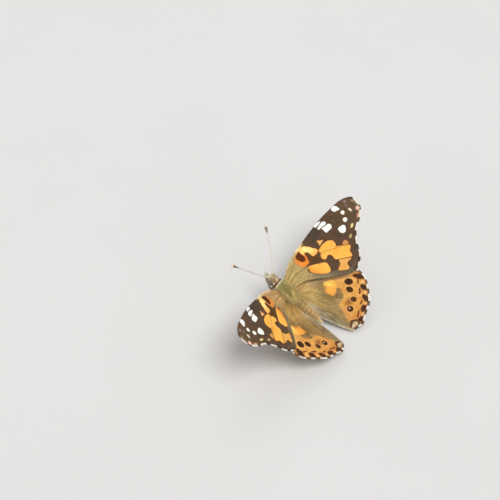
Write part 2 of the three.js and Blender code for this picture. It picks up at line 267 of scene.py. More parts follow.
def wing_material():
    """Powdery scales in rows: each scale a little lighter or darker, raised at its free end."""
    m, t, shader = new_material("wing_scales")
    tint = node(t, "ShaderNodeAttribute", attribute_name="tint")
    plane = node(t, "ShaderNodeAttribute", attribute_name="plane")
    stretch = node(t, "ShaderNodeMapping")
    stretch.inputs["Scale"].default_value = (7.5, 11.0, 1.0)
    t.links.new(plane.outputs["Vector"], stretch.inputs["Vector"])
    scales = node(t, "ShaderNodeTexVoronoi", voronoi_dimensions="2D", feature="F1")
    scales.inputs["Scale"].default_value = 1.0
    scales.inputs["Randomness"].default_value = 0.72
    t.links.new(stretch.outputs["Vector"], scales.inputs["Vector"])
    shade = node(t, "ShaderNodeMapRange")
    shade.inputs["From Min"].default_value = 0.0
    shade.inputs["From Max"].default_value = 1.0
    shade.inputs["To Min"].default_value = 0.86
    shade.inputs["To Max"].default_value = 1.12
    t.links.new(scales.outputs["Color"], shade.inputs["Value"])
    broad = node(t, "ShaderNodeTexNoise", noise_dimensions="2D")
    broad.inputs["Scale"].default_value = 1.6
    broad.inputs["Detail"].default_value = 4.0
    t.links.new(plane.outputs["Vector"], broad.inputs["Vector"])
    worn = node(t, "ShaderNodeMapRange")
    worn.inputs["From Min"].default_value = 0.3
    worn.inputs["From Max"].default_value = 0.7
    worn.inputs["To Min"].default_value = 0.92
    worn.inputs["To Max"].default_value = 1.06
    t.links.new(broad.outputs["Fac"], worn.inputs["Value"])
    both = node(t, "ShaderNodeMath", operation="MULTIPLY")
    t.links.new(shade.outputs["Result"], both.inputs[0])
    t.links.new(worn.outputs["Result"], both.inputs[1])
    grey = node(t, "ShaderNodeCombineColor")
    for k in range(3):
        t.links.new(both.outputs[0], grey.inputs[k])
    t.links.new(mix_rgb(t, tint.outputs["Color"], grey.outputs[0], 1.0), shader.inputs["Base Color"])
    bump = node(t, "ShaderNodeBump")
    bump.inputs["Strength"].default_value = 0.35
    bump.inputs["Distance"].default_value = 0.00004
    t.links.new(scales.outputs["Distance"], bump.inputs["Height"])
    t.links.new(bump.outputs["Normal"], shader.inputs["Normal"])
    rough = node(t, "ShaderNodeMapRange")
    rough.inputs["To Min"].default_value = 0.58
    rough.inputs["To Max"].default_value = 0.78
    t.links.new(scales.outputs["Distance"], rough.inputs["Value"])
    t.links.new(rough.outputs["Result"], shader.inputs["Roughness"])
    shader.inputs["Specular IOR Level"].default_value = 0.06
    shader.inputs["Sheen Weight"].default_value = 0.0
    shader.inputs["Sheen Roughness"].default_value = 0.45
    return m


def hair_material(name, rough=0.6, sheen=0.04, spec=0.2):
    """Fine hair: the colour of each strand, with a slight mottle along it and a soft sheen."""
    m, t, shader = new_material(name)
    tint = node(t, "ShaderNodeAttribute", attribute_name="tint")
    place = node(t, "ShaderNodeTexCoord")
    grain = node(t, "ShaderNodeTexNoise")
    grain.inputs["Scale"].default_value = 5200.0
    grain.inputs["Detail"].default_value = 2.0
    t.links.new(place.outputs["Object"], grain.inputs["Vector"])
    level = node(t, "ShaderNodeMapRange")
    level.inputs["From Min"].default_value = 0.3
    level.inputs["From Max"].default_value = 0.7
    level.inputs["To Min"].default_value = 0.88
    level.inputs["To Max"].default_value = 1.1
    t.links.new(grain.outputs["Fac"], level.inputs["Value"])
    grey = node(t, "ShaderNodeCombineColor")
    for k in range(3):
        t.links.new(level.outputs["Result"], grey.inputs[k])
    t.links.new(mix_rgb(t, tint.outputs["Color"], grey.outputs[0], 1.0), shader.inputs["Base Color"])
    shader.inputs["Roughness"].default_value = rough
    shader.inputs["Specular IOR Level"].default_value = spec
    shader.inputs["Sheen Weight"].default_value = sheen
    shader.inputs["Sheen Roughness"].default_value = 0.4
    return m


WING = wing_material()
HAIR = hair_material("fine_hair")

# ------------------------------------------------------------------ wings: outline, veins and surface
# p runs outward along the wing and q forward, in mm, from the middle of the body
FORE_COSTA = [[1.2, 1.5], [2.62, 2.35], [4.3, 2.8], [7.6, 3.4], [10.6, 3.32], [13.6, 2.85], [17.4, 2.28], [20.9, 1.68], [23.8, 0.98],
              [26.6, 0.06], [29.4, -0.95], [31.2, -2.1], [32.4, -3.4]]
FORE_TERMEN = [[32.4, -3.4], [32.6, -4.8], [32.1, -6.2], [31.2, -7.45], [29.6, -8.3], [27.7, -8.8], [25.7, -9.1], [24.2, -9.7],
               [22.85, -10.6], [21.2, -11.9], [20.0, -13.2], [18.3, -14.0], [16.7, -14.5], [15.3, -14.35]]
FORE_INNER = [[1.2, -0.9], [2.6, -1.4], [3.3, -1.8], [5.2, -2.9], [7.0, -4.9], [8.5, -7.1], [10.15, -9.4], [12.0, -11.7], [14.2, -13.9], [15.3, -14.35]]
FORE_ROOT = [[1.2, 1.5], [1.1, 0.3], [1.2, -0.9]]
HIND_COSTA = [[0.9, -0.9], [1.9, -0.95], [3.4, -0.9], [6.4, -1.9], [9.7, -4.0], [12.7, -6.6], [15.0, -9.3], [16.5, -11.9]]
HIND_TERMEN = [[16.5, -11.9], [16.7, -14.1], [16.0, -16.2], [14.9, -17.3], [13.5, -18.5], [12.0, -19.6], [10.5, -20.6], [8.9, -21.15],
               [7.0, -21.4], [5.2, -21.85], [3.4, -22.2], [2.0, -21.6], [0.7, -20.9]]
HIND_INNER = [[0.5, -3.0], [0.42, -4.6], [0.12, -6.4], [-0.08, -8.6], [-0.2, -11.0], [-0.1, -13.2], [0.1, -15.6], [0.25, -17.8], [0.35, -19.6], [0.7, -20.9]]
HIND_ROOT = [[0.9, -0.9], [0.6, -1.9], [0.5, -3.0]]

# veins, each from its start to the margin
FORE_VEINS = {
    "Sc": [[2.4, 2.1], [8.0, 2.85], [14.0, 2.5], [19.3, 1.95]],
    "R": [[2.4, 1.4], [6.0, 1.65], [9.0, 2.05], [12.0, 2.3], [14.4, 1.7]],
    "R1": [[11.0, 2.3], [16.0, 1.95], [20.0, 1.55], [24.0, 0.9]],
    "R2": [[14.4, 1.7], [18.0, 1.25], [21.0, 0.86], [24.5, 0.35], [28.2, -0.5]],
    "R5": [[24.0, 0.4], [27.0, -0.9], [30.0, -2.2], [32.4, -3.5]],
    "M1": [[15.0, 0.7], [18.0, 0.25], [20.3, -0.25], [22.4, -1.05], [24.8, -2.6], [26.7, -4.25], [29.2, -6.2], [31.3, -7.3]],
    "M2": [[15.4, -0.8], [18.5, -1.6], [21.4, -3.1], [24.6, -5.1], [26.6, -7.0], [27.9, -8.8]],
    "M3": [[15.0, -2.35], [16.6, -2.35], [18.2, -3.0], [20.0, -4.4], [21.6, -6.6], [23.2, -8.6], [24.2, -9.7]],
    "Cu1": [[12.8, -2.3], [14.2, -3.1], [15.3, -4.1], [17.0, -5.75], [18.5, -7.2], [20.0, -9.0], [21.2, -11.9]],
    "Cu2": [[9.2, -1.55], [10.9, -3.3], [12.8, -5.6], [14.9, -8.3], [16.3, -9.9], [17.6, -11.4], [18.3, -14.0]],
    "Cu": [[2.2, 0.5], [5.0, 0.2], [7.0, -0.65], [8.6, -1.3], [10.4, -1.75], [12.8, -2.3], [15.0, -2.35]],
    "cell": [[14.4, 1.7], [15.0, 0.7], [15.4, -0.8], [15.0, -2.35]],
    "A": [[2.2, -0.3], [4.4, -1.1], [6.6, -2.7], [8.6, -5.0], [10.6, -7.9], [12.4, -10.5], [13.9, -12.6], [15.3, -14.3]],
}
HIND_VEINS = {
    "Sc": [[1.6, -1.6], [5.0, -2.2], [9.0, -4.6], [12.6, -7.6], [15.6, -10.6]],
    "Rs": [[1.6, -1.9], [4.5, -3.6], [8.0, -6.4], [11.5, -9.5], [14.4, -12.2], [16.6, -14.2]],
    "M1": [[6.3, -4.9], [8.6, -7.4], [10.2, -10.2], [12.2, -14.6], [14.9, -17.3]],
    "M2": [[6.9, -6.4], [8.0, -9.0], [9.4, -13.0], [10.8, -16.4], [12.6, -19.1]],
    "M3": [[5.2, -8.6], [6.6, -12.4], [7.6, -15.8], [9.4, -20.9]],
    "Cu1": [[4.4, -7.6], [4.9, -11.6], [5.8, -15.0], [6.6, -18.4], [6.9, -21.4]],
    "Cu2": [[3.3, -5.2], [3.3, -9.4], [3.5, -14.6], [3.7, -18.4], [3.7, -22.1]],
    "Cu": [[1.5, -2.2], [3.3, -5.2], [4.4, -7.6], [5.2, -8.6]],
    "A2": [[1.3, -2.6], [1.9, -6.4], [1.75, -12.6], [1.5, -17.4], [1.4, -21.2]],
    "A3": [[1.0, -3.0], [0.8, -7.0], [0.45, -12.0], [0.5, -17.0]],
}


def camber_fore(p, q):
    return 0.3 * np.sin(math.pi * np.clip(p / 32, 0, 1)) - 0.12 * smooth(0.5, 3.5, q + 0.06 * (p - 8)) - 0.15


def camber_hind(p, q):
    root = np.hypot(p - 1.4, q + 2.2)
    return 1.1 * np.exp(-((root / 4.2) ** 2)) - 0.25 * smooth(11, 17, p) + 0.12 * np.sin(math.pi * np.minimum(1, root / 19))


def base_sheen_tint(side, p, q):
    """Painted sheen: the left forewing's base is painted a little more peach than the right one's, where the light
    falls on its hair at another angle.
    """
    if side < 0:
        return np.ones(p.shape + (3,))
    k = smooth(9.2, 7.2, p) * smooth(-2.2, -0.4, q)
    strip = smooth(2.3, 3.0, q) * smooth(3.0, 5.0, p) * smooth(11.0, 9.5, p)
    patch = smooth(8.0, 8.6, p) * smooth(12.2, 11.6, p) * smooth(-2.0, -1.2, q) * smooth(3.0, 2.4, q)
    rear = smooth(10.0, 8.0, p) * smooth(-0.8, -2.4, q)
    return (1 + k[..., None] * np.array([0.08, 0.01, 0.03]) + strip[..., None] * np.array([0.14, 0.09, 0.12])
            + patch[..., None] * np.array([-0.08, 0.02, 0.22]) - rear[..., None] * np.array([0.05, 0.11, 0.13]))


def wool_sheen_tint(side, p, q):
    """Painted sheen: the left hindwing's wool near the root is painted more golden than the right one's, where the
    light falls on it at another angle.
    """
    if side < 0:
        return np.ones(p.shape + (3,))
    k = smooth(14.0, 11.0, np.hypot(p - 1.4, q + 2.2)) * smooth(9.0, 7.0, p)
    return 1 - k[..., None] * np.array([0.0, 0.05, 0.10])


FORE["camber"], HIND["camber"] = camber_fore, camber_hind


def wing_place(wing, side, p, q, h):
    sd, cd = math.sin(rad(wing["dihedral"])), math.cos(rad(wing["dihedral"]))
    sp, cp = math.sin(rad(wing["pitch"])), math.cos(rad(wing["pitch"]))
    n = wing["depth"] + wing["camber"](p, q) + h
    return at(side, p * cd - q * sp * sd - n * sd * cp, q * cp - n * sp, p * sd + q * sp * cd + n * cd * cp)


def vein_field(p, q, veins):
    """How near each place is to a vein."""
    best = np.full(p.shape, 9.0)
    for name, pts in veins.items():
        d, _ = line_distance(p, q, curve(pts, False, 5))
        best = np.minimum(best, d)
    return best


# ------------------------------------------------------------------ wing markings
WHITE = rgb(247, 245, 232)
CREAM = rgb(246, 226, 176)
ORANGE = rgb(247, 168, 68)
GOLD = rgb(250, 186, 88)
YELLOW = rgb(254, 214, 128)
RUST = rgb(232, 132, 50)
DARK = rgb(87, 67, 51)
BROWN = rgb(92, 70, 50)
OLIVE = rgb(172, 150, 98)
TAN = rgb(196, 176, 130)

FORE_ORANGE = {
    "cell_patch": [[8.35, 2.2], [8.3, 1.2], [8.3, 0.2], [8.4, -0.7], [9.0, -1.25], [9.8, -1.5], [10.4, -1.65], [10.85, -1.3], [10.95, -0.85],
                   [11.35, -0.5], [11.7, 0.0], [11.75, 0.9], [11.8, 2.0], [11.7, 2.6], [10.5, 2.75], [9.2, 2.6]],
    "band": [[11.45, 2.5], [12.6, 2.75], [13.4, 2.2], [13.9, 1.3], [14.25, 0.3], [14.45, -0.7], [14.75, -1.6], [14.6, -2.25], [14.1, -2.4],
             [13.5, -2.25], [12.9, -2.0], [12.45, -1.6], [12.5, -1.1], [12.7, -0.6], [12.65, 0.0], [12.4, 0.5], [12.0, 0.75], [11.65, 0.5], [11.45, 1.2]],
    "petal": [[14.5, -2.55], [15.3, -2.4], [16.2, -2.5], [17.1, -2.75], [18.0, -3.2], [18.7, -3.85], [18.98, -4.45], [18.9, -5.1], [18.6, -5.65],
              [18.2, -6.1], [17.5, -5.7], [16.6, -4.9], [15.6, -4.0], [14.7, -3.2]],
    "main": [[14.4, -2.85], [14.3, -3.3], [13.7, -3.6], [13.3, -4.0], [13.15, -4.5], [13.3, -5.1], [13.7, -5.38], [14.3, -5.25], [14.9, -5.4],
             [15.25, -5.9], [15.2, -6.6], [14.9, -7.2], [14.8, -7.8], [15.1, -8.3], [15.9, -9.2], [16.7, -10.2], [17.4, -11.1], [17.9, -11.4],
             [18.4, -11.1], [18.65, -10.6], [18.9, -10.15], [19.6, -9.95], [20.25, -9.7], [20.3, -9.2], [19.7, -8.3], [18.9, -7.3], [18.1, -6.3],
             [17.2, -5.4], [16.2, -4.5], [15.2, -3.6]],
    "block": [[12.55, -9.75], [13.2, -9.6], [14.0, -9.6], [14.5, -9.4], [14.85, -8.9], [15.15, -8.75], [15.8, -9.4], [16.4, -10.2], [17.0, -10.95],
              [17.3, -11.4], [16.8, -11.45], [16.2, -11.15], [15.6, -11.1], [15.2, -11.25], [15.0, -11.75], [14.75, -12.2], [14.4, -12.3],
              [13.9, -12.0], [13.4, -11.3], [12.9, -10.6]],
    "low": [[9.1, -1.9], [9.7, -2.2], [10.3, -2.8], [11.1, -3.7], [11.9, -4.6], [12.5, -5.35], [12.72, -5.95], [12.5, -6.6], [12.2, -7.2],
            [11.75, -7.7], [11.1, -8.0], [10.5, -7.75], [9.9, -7.0], [9.3, -6.0], [8.9, -5.2], [8.6, -4.4], [8.4, -3.5], [8.5, -2.8], [8.8, -2.25]],
    "tooth": [[16.75, -0.7], [17.15, -1.3], [17.8, -2.2], [16.9, -2.1], [16.0, -2.0], [16.35, -1.5]],
    "flake": [[19.5, -7.5], [20.1, -7.4], [20.8, -7.6], [21.0, -8.2], [20.7, -8.8], [20.2, -8.7], [19.8, -8.2]],
}
FORE_WHITE = {
    "bar_a": [[19.9, 1.95], [20.5, 1.8], [21.2, 1.55], [21.85, 1.2], [22.15, 0.98], [21.5, 0.85], [20.8, 0.98], [20.2, 1.08], [19.85, 1.35]],
    "bar_b": [[19.8, 0.8], [20.4, 0.68], [21.2, 0.66], [21.8, 0.52], [22.3, 0.28], [22.6, -0.2], [22.4, -0.72], [21.9, -0.75], [21.2, -0.38],
              [20.5, -0.08], [19.9, 0.1], [19.75, 0.45]],
    "bar_c": [[20.4, -0.38], [20.9, -0.5], [21.6, -0.9], [22.2, -1.15], [22.65, -1.5], [22.72, -2.0], [22.45, -2.5], [22.0, -2.7], [21.4, -2.55],
              [20.7, -2.3], [20.15, -2.1], [20.1, -1.6], [20.3, -0.9]],
    "big": [[22.6, -4.42], [23.2, -4.5], [23.8, -4.8], [24.3, -5.2], [24.42, -5.7], [24.0, -6.2], [23.5, -6.5], [22.9, -6.65], [22.4, -6.4],
            [22.1, -5.9], [22.05, -5.4], [22.3, -4.9]],
    "costal": [[26.3, -0.45], [26.7, -0.15], [27.3, -0.2], [27.8, -0.5], [27.95, -1.1], [27.9, -1.8], [27.75, -2.35], [27.4, -2.2], [26.9, -1.8],
               [26.4, -1.4], [26.3, -0.9]],
}


def scale_edge(p, q, seed, amount=0.06):
    """Marks end along ragged rows of scales, not on a clean line."""
    a = amount * fbm(p * 1.7, q * 1.7, seed, 2) + 0.45 * amount * noise(p * 8.0, q * 8.0, seed + 5)
    b = amount * fbm(p * 1.7, q * 1.7, seed + 9, 2) + 0.45 * amount * noise(p * 8.0, q * 8.0, seed + 14)
    return p + a, q + b


def fore_top(p, q):
    x, y = scale_edge(p, q, 3)
    mottle = fbm(p * 1.1, q * 1.1, 40)
    streak = fbm(p * 0.55 + 2.0 * q * 0.1, (q - 0.12 * p) * 4.0, 41)
    c = np.empty(p.shape + (3,))
    c[:] = DARK
    c = over(c, rgb(96, 76, 55), smooth(21.0, 31.5, p) * (0.85 + 0.3 * mottle))
    c = over(c, rgb(74, 62, 52), smooth(14.5, 17.0, p) * smooth(-1.5, 0.5, q) * smooth(22, 19, p) * 0.8)
    c = c * (1 + 0.08 * mottle + 0.05 * streak)[..., None]
    # tan and olive base, with the paler front edge and a painted highlight on it
    base = np.maximum(
        mark(x, y, [[0.0, 4.2], [8.45, 4.2], [8.3, 2.6], [8.3, 1.2], [8.3, 0.0], [8.45, -0.9], [9.3, -1.35], [9.0, -1.9], [8.55, -2.2], [8.3, -2.9],
                    [8.2, -3.6], [8.45, -4.5], [8.9, -5.5], [9.4, -6.6], [10.2, -8.0], [9.2, -9.2], [6.5, -5.5], [2.0, -3.5], [0.0, -2.0]], 0.22),
        mark(x, y, [[3.0, 2.35], [8.0, 2.6], [13.6, 2.4], [14.1, 2.2], [14.0, 3.6], [8.0, 4.2], [3.0, 3.8]], 0.14))
    hairy = over(np.broadcast_to(OLIVE, c.shape), rgb(184, 160, 104), smooth(0.1, 0.6, streak))
    hairy = over(hairy, rgb(150, 128, 78), smooth(0.1, 0.7, -streak) * 0.8)
    hairy = over(hairy, TAN, smooth(2.05, 2.9, q + 0.03 * (p - 6)) * 0.9)
    hairy = over(hairy, rgb(156, 142, 104), smooth(-2.2, -4.6, q) * 0.85)
    # painted highlight: a cream patch on the front edge beside the cell
    hairy = over(hairy, rgb(238, 218, 168), mark(x, y, [[10.8, 2.55], [12.0, 2.5], [13.5, 2.35], [13.9, 2.65], [13.0, 3.1], [11.4, 3.35]], 0.25))
    c = over(c, hairy, base)
    # grey-olive band along the inner margin
    rear, _ = line_distance(p, q, curve(FORE_INNER, False, 6))
    grey = over(np.broadcast_to(rgb(132, 118, 90), c.shape), rgb(106, 94, 74), smooth(9.0, 12.5, p))
    c = over(c, grey * (1 + 0.10 * streak)[..., None], smooth(np.interp(p, [7.5, 10.0, 13.0], [1.5, 1.95, 2.1]), np.interp(p, [7.5, 10.0, 13.0], [0.9, 1.25, 1.3]), rear) * smooth(6.6, 8.6, p) * smooth(17.0, 14.2, p) * 0.92)
    # warm halo, then the orange marks
    best = np.full(p.shape, -0.8)
    depth = {k: depth_in(x, y, v) for k, v in FORE_ORANGE.items()}
    for d in depth.values():
        best = np.maximum(best, d)
    c = over(c, rgb(112, 64, 30), smooth(-0.42, 0.0, best) * 0.75 * (1 - base))
    edge = 0.09
    tones = {"cell_patch": (rgb(226, 124, 44), rgb(236, 142, 60)), "band": (rgb(250, 188, 94), rgb(253, 206, 116)), "petal": (ORANGE, GOLD), "main": (ORANGE, GOLD),
             "block": (rgb(222, 158, 80), rgb(238, 178, 92)), "low": (rgb(250, 180, 82), rgb(252, 174, 74)), "tooth": (rgb(236, 170, 100), rgb(244, 184, 110)),
             "flake": (rgb(196, 136, 74), rgb(214, 154, 92))}
    warm = fbm(p * 0.9, q * 0.9, 61)
    for k, d in depth.items():
        a, b = tones[k]
        tone = over(np.broadcast_to(a, c.shape), b, np.clip(0.5 + 0.6 * warm, 0, 1))
        if k in ("petal", "main", "low", "block"):           # lighter rim, deeper middle
            tone = over(tone, rgb(252, 192, 104), smooth(0.34, 0.08, d) * 0.45)
        if k == "low":
            tone = over(tone, rgb(228, 142, 56), smooth(10.6, 8.4, p - 0.2 * q * 0) * 0.75)
        if k == "cell_patch":
            tone = over(tone, rgb(230, 128, 44), smooth(-0.6, -1.4, q) * 0.7)
            tone = over(tone, rgb(206, 168, 112), smooth(1.4, 2.4, q) * 0.7)
        if k == "band":
            tone = over(tone, rgb(254, 226, 150), oval(p, q, (13.2, 0.9), (0.7, 1.8), 18, 0.6) * 0.8)
            tone = over(tone, rgb(246, 176, 90), smooth(-0.6, -2.0, q) * 0.8)
        c = over(c, tone * (1 + 0.04 * streak)[..., None], smooth(-edge, edge, d))
    # dark bar in the cell
    bar = mark(x, y, [[9.55, 2.45], [9.45, 1.6], [9.5, 0.8], [9.62, 0.2], [9.9, -0.3], [10.4, -0.5], [10.9, -0.2], [11.25, 0.3], [11.35, 1.0],
                      [11.5, 1.8], [11.6, 2.4], [10.6, 2.5]], 0.12)
    c = over(c, over(np.broadcast_to(rgb(86, 44, 22), c.shape), rgb(118, 58, 22), smooth(0.6, -0.5, q)), bar)
    c = over(c, rgb(78, 54, 34), mark(x, y, [[8.0, -2.9], [8.5, -2.2], [8.75, -2.35], [8.5, -2.95], [8.2, -3.2]], 0.12) * 0.85)
    # black stalk between the cell and the lower patch stays darkest
    c = over(c, rgb(88, 60, 31), mark(x, y, [[11.85, 0.45], [12.25, 0.1], [12.3, -0.8], [12.3, -1.7], [13.0, -2.35], [13.9, -2.75], [13.6, -3.3],
                                             [12.9, -4.0], [12.8, -4.9], [12.2, -4.4], [11.2, -3.2], [10.3, -2.3], [11.0, -1.6], [11.4, -0.6]], 0.2) * 0.8)
    # white marks
    for k, v in FORE_WHITE.items():
        c = over(c, rgb(44, 34, 28), smooth(-0.3, 0.0, depth_in(x, y, v)) * 0.5)
        c = over(c, WHITE, mark(x, y, v, 0.09))
    c = over(c, WHITE, oval(x, y, (27.32, -3.5), (0.56, 0.56), 0, 0.09))
    c = over(c, WHITE, oval(x, y, (25.9, -5.0), (0.64, 0.62), 0, 0.09))
    c = over(c, rgb(238, 226, 196), oval(x, y, (29.08, -5.0), (0.3, 0.66), -8, 0.12))
    c = over(c, rgb(224, 206, 128), oval(x, y, (25.4, -7.5), (0.72, 0.34), 8, 0.12))
    c = over(c, rgb(196, 174, 112), oval(x, y, (22.6, -8.5), (0.6, 0.34), 6, 0.16))
    c = over(c, rgb(150, 130, 128), oval(x, y, (30.3, -2.6), (0.45, 0.4), 20, 0.2) * 0.9)
    c = over(c, rgb(134, 112, 108), oval(x, y, (29.6, -3.5), (0.42, 0.36), 20, 0.2) * 0.8)
    c = over(c, rgb(150, 120, 110), oval(x, y, (23.9, -2.1), (0.2, 0.18), 0, 0.14) * 0.6)
    c = over(c, rgb(232, 184, 160), oval(x, y, (30.65, -6.75), (0.74, 0.62), -30, 0.22))
    c = over(c, rgb(206, 158, 112), oval(x, y, (29.0, -7.75), (0.95, 0.45), 8, 0.26) * 0.95)
    c = over(c, rgb(190, 160, 116), oval(x, y, (31.75, -4.3), (0.34, 0.6), 8, 0.24) * 0.85)
    c = over(c, rgb(190, 160, 116), oval(x, y, (31.65, -5.6), (0.34, 0.5), -12, 0.24) * 0.8)
    c = over(c, rgb(124, 108, 90), oval(x, y, (17.0, -12.9), (0.9, 0.35), 10, 0.4) * 0.4)
    c = over(c, rgb(112, 96, 80), oval(x, y, (19.9, -12.3), (0.5, 0.3), 40, 0.3) * 0.3)
    # veins: brown lines through the orange, olive ridges at the base
    on_orange = smooth(-0.1, 0.1, best)
    for k, v in FORE_VEINS.items():
        w = {"Cu1": 0.12, "Cu2": 0.14, "M3": 0.12, "Cu": 0.12, "cell": 0.1}.get(k, 0.08)
        s = stroke(p, q, v, w, 0.07)
        strength = np.where(on_orange > 0.3, 0.48 if k in ("Cu1", "Cu2", "M3", "Cu") else 0.2, 0.18)
        c = over(c, rgb(140, 82, 34), s * strength * on_orange)
        c = over(c, rgb(112, 92, 54), s * base * (0.75 if k in ("Cu", "R") else 0.4) * (1 - on_orange))
        c = over(c, rgb(206, 186, 136), stroke(p, q - 0.22, v, 0.07, 0.07) * base * 0.4 * (1 - on_orange))
    # brown line just inside the fringe
    rim, _ = line_distance(p, q, curve(FORE_TERMEN, False, 6))
    c = over(c, rgb(60, 46, 38), smooth(0.95, 0.6, rim) * 0.6 * (1 - smooth(25.5, 26.5, p) * smooth(31.5, 31.0, p)))
    return np.clip(c, 0, 1)


HIND_SPOTS = [((12.15, -12.85), (1.0, 1.2), 28), ((10.25, -14.15), (0.86, 1.05), 10), ((8.3, -16.45), (0.74, 0.82), 0), ((5.4, -16.95), (0.88, 0.9), 0)]


def hind_top(p, q):
    x, y = scale_edge(p, q, 23)
    root = np.hypot(p - 1.4, q + 2.2)
    turn = np.arctan2(-(q + 2.2), p - 1.4 + 1e-6)
    streak = fbm(turn * 26.0, root * 0.42, 71)
    fine = fbm(turn * 70.0, root * 1.1, 72)
    mottle = fbm(p * 1.0, q * 1.0, 73)
    c = np.empty(p.shape + (3,))
    c[:] = rgb(206, 144, 70)
    c = over(c, rgb(222, 169, 92), np.clip(0.45 + 1.1 * mottle + 0.3 * fine, 0, 1) * 0.7)
    c = over(c, rgb(134, 84, 42), oval(p, q, (7.0, -15.8), (1.25, 0.75), -18, 0.7) * 0.85)
    c = over(c, rgb(200, 140, 82), oval(p, q, (3.6, -16.4), (1.5, 1.9), 0, 1.0) * 0.6)
    c = over(c, rgb(240, 184, 108), smooth(15.6, 12.0, q * -1) * smooth(10.5, 12.5, p) * 0.6)
    c = over(c, rgb(186, 122, 62), smooth(-18.4, -19.6, q + 0.25 * (p - 6)) * 0.45)
    border, _ = line_distance(p, q, curve(HIND_TERMEN, False, 6))
    c = over(c, rgb(178, 120, 62), smooth(2.6, 1.2, border) * 0.4)
    # hairy brown-olive area from the root
    hairy = mark(x, y, [[-1.5, 0.5], [8.0, 0.5], [13.0, -6.0], [9.0, -6.4], [8.55, -6.95], [7.8, -7.3], [7.1, -7.65], [6.3, -8.05], [5.7, -8.4],
                        [5.8, -9.4], [6.0, -10.2], [6.2, -11.0], [7.0, -11.25], [8.0, -11.15], [8.9, -10.9], [9.1, -11.8], [8.7, -12.5],
                        [8.1, -13.1], [7.7, -13.7], [6.9, -13.9], [5.6, -13.7], [4.8, -13.9], [4.2, -14.5], [3.7, -15.2], [3.3, -16.2],
                        [2.6, -17.1], [2.2, -17.9], [2.0, -18.6], [0.8, -19.0], [-1.5, -19.0]], 0.28)
    wool = over(np.broadcast_to(rgb(164, 138, 86), c.shape), rgb(184, 156, 100), smooth(0.0, 0.55, streak))
    wool = over(wool, rgb(138, 114, 66), smooth(0.05, 0.6, -streak) * 0.85)
    wool = over(wool, rgb(150, 116, 68), smooth(5.0, 7.2, p) * smooth(-4.5, -6.5, q) * smooth(-10.5, -8.5, q) * 0.55)
    wool = over(wool, rgb(158, 132, 88), smooth(-9.0, -13.0, q) * 0.6)
    wool = over(wool, rgb(126, 98, 60), smooth(7.2, 8.2, p) * smooth(-10.6, -11.3, q) * (0.65 + 0.3 * mottle))
    wool = wool * (1 + 0.07 * fine - 0.13 * oval(p, q, (5.4, -8.6), (2.4, 3.2), -20, 2.0))[..., None]
    # the grey inner fold
    fold = smooth(1.9, 0.9, p + 0.25 * streak) * smooth(-4.2, -6.4, q)
    tone = over(np.broadcast_to(rgb(142, 128, 98), c.shape), rgb(112, 100, 78), smooth(-8.4, -10.4, q) * smooth(-16.0, -13.0, q))
    tone = over(tone, rgb(190, 178, 148), smooth(0.1, 0.6, streak + 0.3 * fine) * 0.7)
    tone = over(tone, rgb(196, 184, 156), smooth(-10.0, -6.6, q) * 0.5)
    wool = over(wool, tone, fold * 0.9)
    c = over(c, wool, hairy)
    # pale smudge and bright patch
    c = over(c, over(np.broadcast_to(rgb(140, 114, 74), c.shape), rgb(114, 84, 48), smooth(0.0, 0.5, mottle + 0.8 * fine)) * (1 + 0.10 * fine)[..., None],
             mark(x, y, [[6.3, -11.6], [7.2, -11.5], [8.2, -11.3], [8.7, -10.9], [9.05, -11.4], [8.8, -12.2], [8.1, -12.7], [7.8, -13.4], [7.1, -13.6],
                         [6.5, -13.0], [6.2, -12.2]], 0.3) * 0.9)
    patch = depth_in(x, y, [[5.7, -8.45], [6.3, -8.05], [7.0, -7.6], [7.7, -7.1], [8.4, -6.6], [9.2, -6.1], [9.9, -6.7], [10.4, -7.5], [10.5, -8.4],
                            [10.2, -9.4], [9.7, -10.3], [9.0, -10.6], [8.5, -10.95], [7.9, -11.15], [7.0, -11.15], [6.25, -10.9], [6.0, -10.1], [5.85, -9.3]])
    glow = over(np.broadcast_to(rgb(247, 170, 74), c.shape), rgb(253, 208, 104), oval(p, q, (9.0, -7.9), (1.1, 1.6), 20, 0.8))
    glow = over(glow, rgb(222, 152, 80), smooth(-9.8, -11.2, q) * 0.6)
    c = over(c, glow, smooth(-0.1, 0.1, patch))
    c = over(c, rgb(206, 140, 66), stroke(x, y, [[9.0, -6.7], [9.35, -8.2], [9.65, -9.8]], 0.09, 0.09) * 0.55)
    # front border under the forewing, with a painted shadow of the forewing's edge
    front, _ = line_distance(p, q, curve(HIND_COSTA, False, 6))
    # painted shadow: a brown line where the forewing's edge shades the hindwing
    c = over(c, rgb(150, 98, 50), stroke(x, y, [[8.6, -6.2], [9.9, -7.9], [11.2, -9.6], [12.6, -11.2], [13.9, -12.5]], 0.2, 0.16) * 0.7)
    c = over(c, rgb(150, 132, 98), smooth(3.6, 2.5, front) * smooth(3.0, 6.0, p) * smooth(-13.0, -10.5, q) * 0.85)
    c = over(c, rgb(96, 74, 52), smooth(1.4, 0.5, front) * smooth(9.0, 12.0, p) * 0.6)
    # round spots
    for i, (centre, half, tilt) in enumerate(HIND_SPOTS):
        c = over(c, rgb(236, 176, 100), oval(x, y, centre, (half[0] + 0.28, half[1] + 0.28), tilt, 0.2) * 0.45)
        c = over(c, rgb(76, 46, 26), oval(x, y, centre, half, tilt, 0.12))
        c = over(c, rgb(48, 32, 22), oval(x, y, centre, (half[0] * 0.7, half[1] * 0.7), tilt, 0.2) * 0.7)
    c = over(c, rgb(126, 84, 46), oval(x, y, (5.55, -16.7), (0.42, 0.36), 10, 0.2) * 0.8)
    c = over(c, rgb(214, 204, 196), oval(x, y, (5.38, -16.78), (0.24, 0.16), 10, 0.16) * 0.9)
    c = over(c, rgb(120, 90, 66), oval(x, y, (8.35, -16.35), (0.26, 0.24), 0, 0.16) * 0.8)
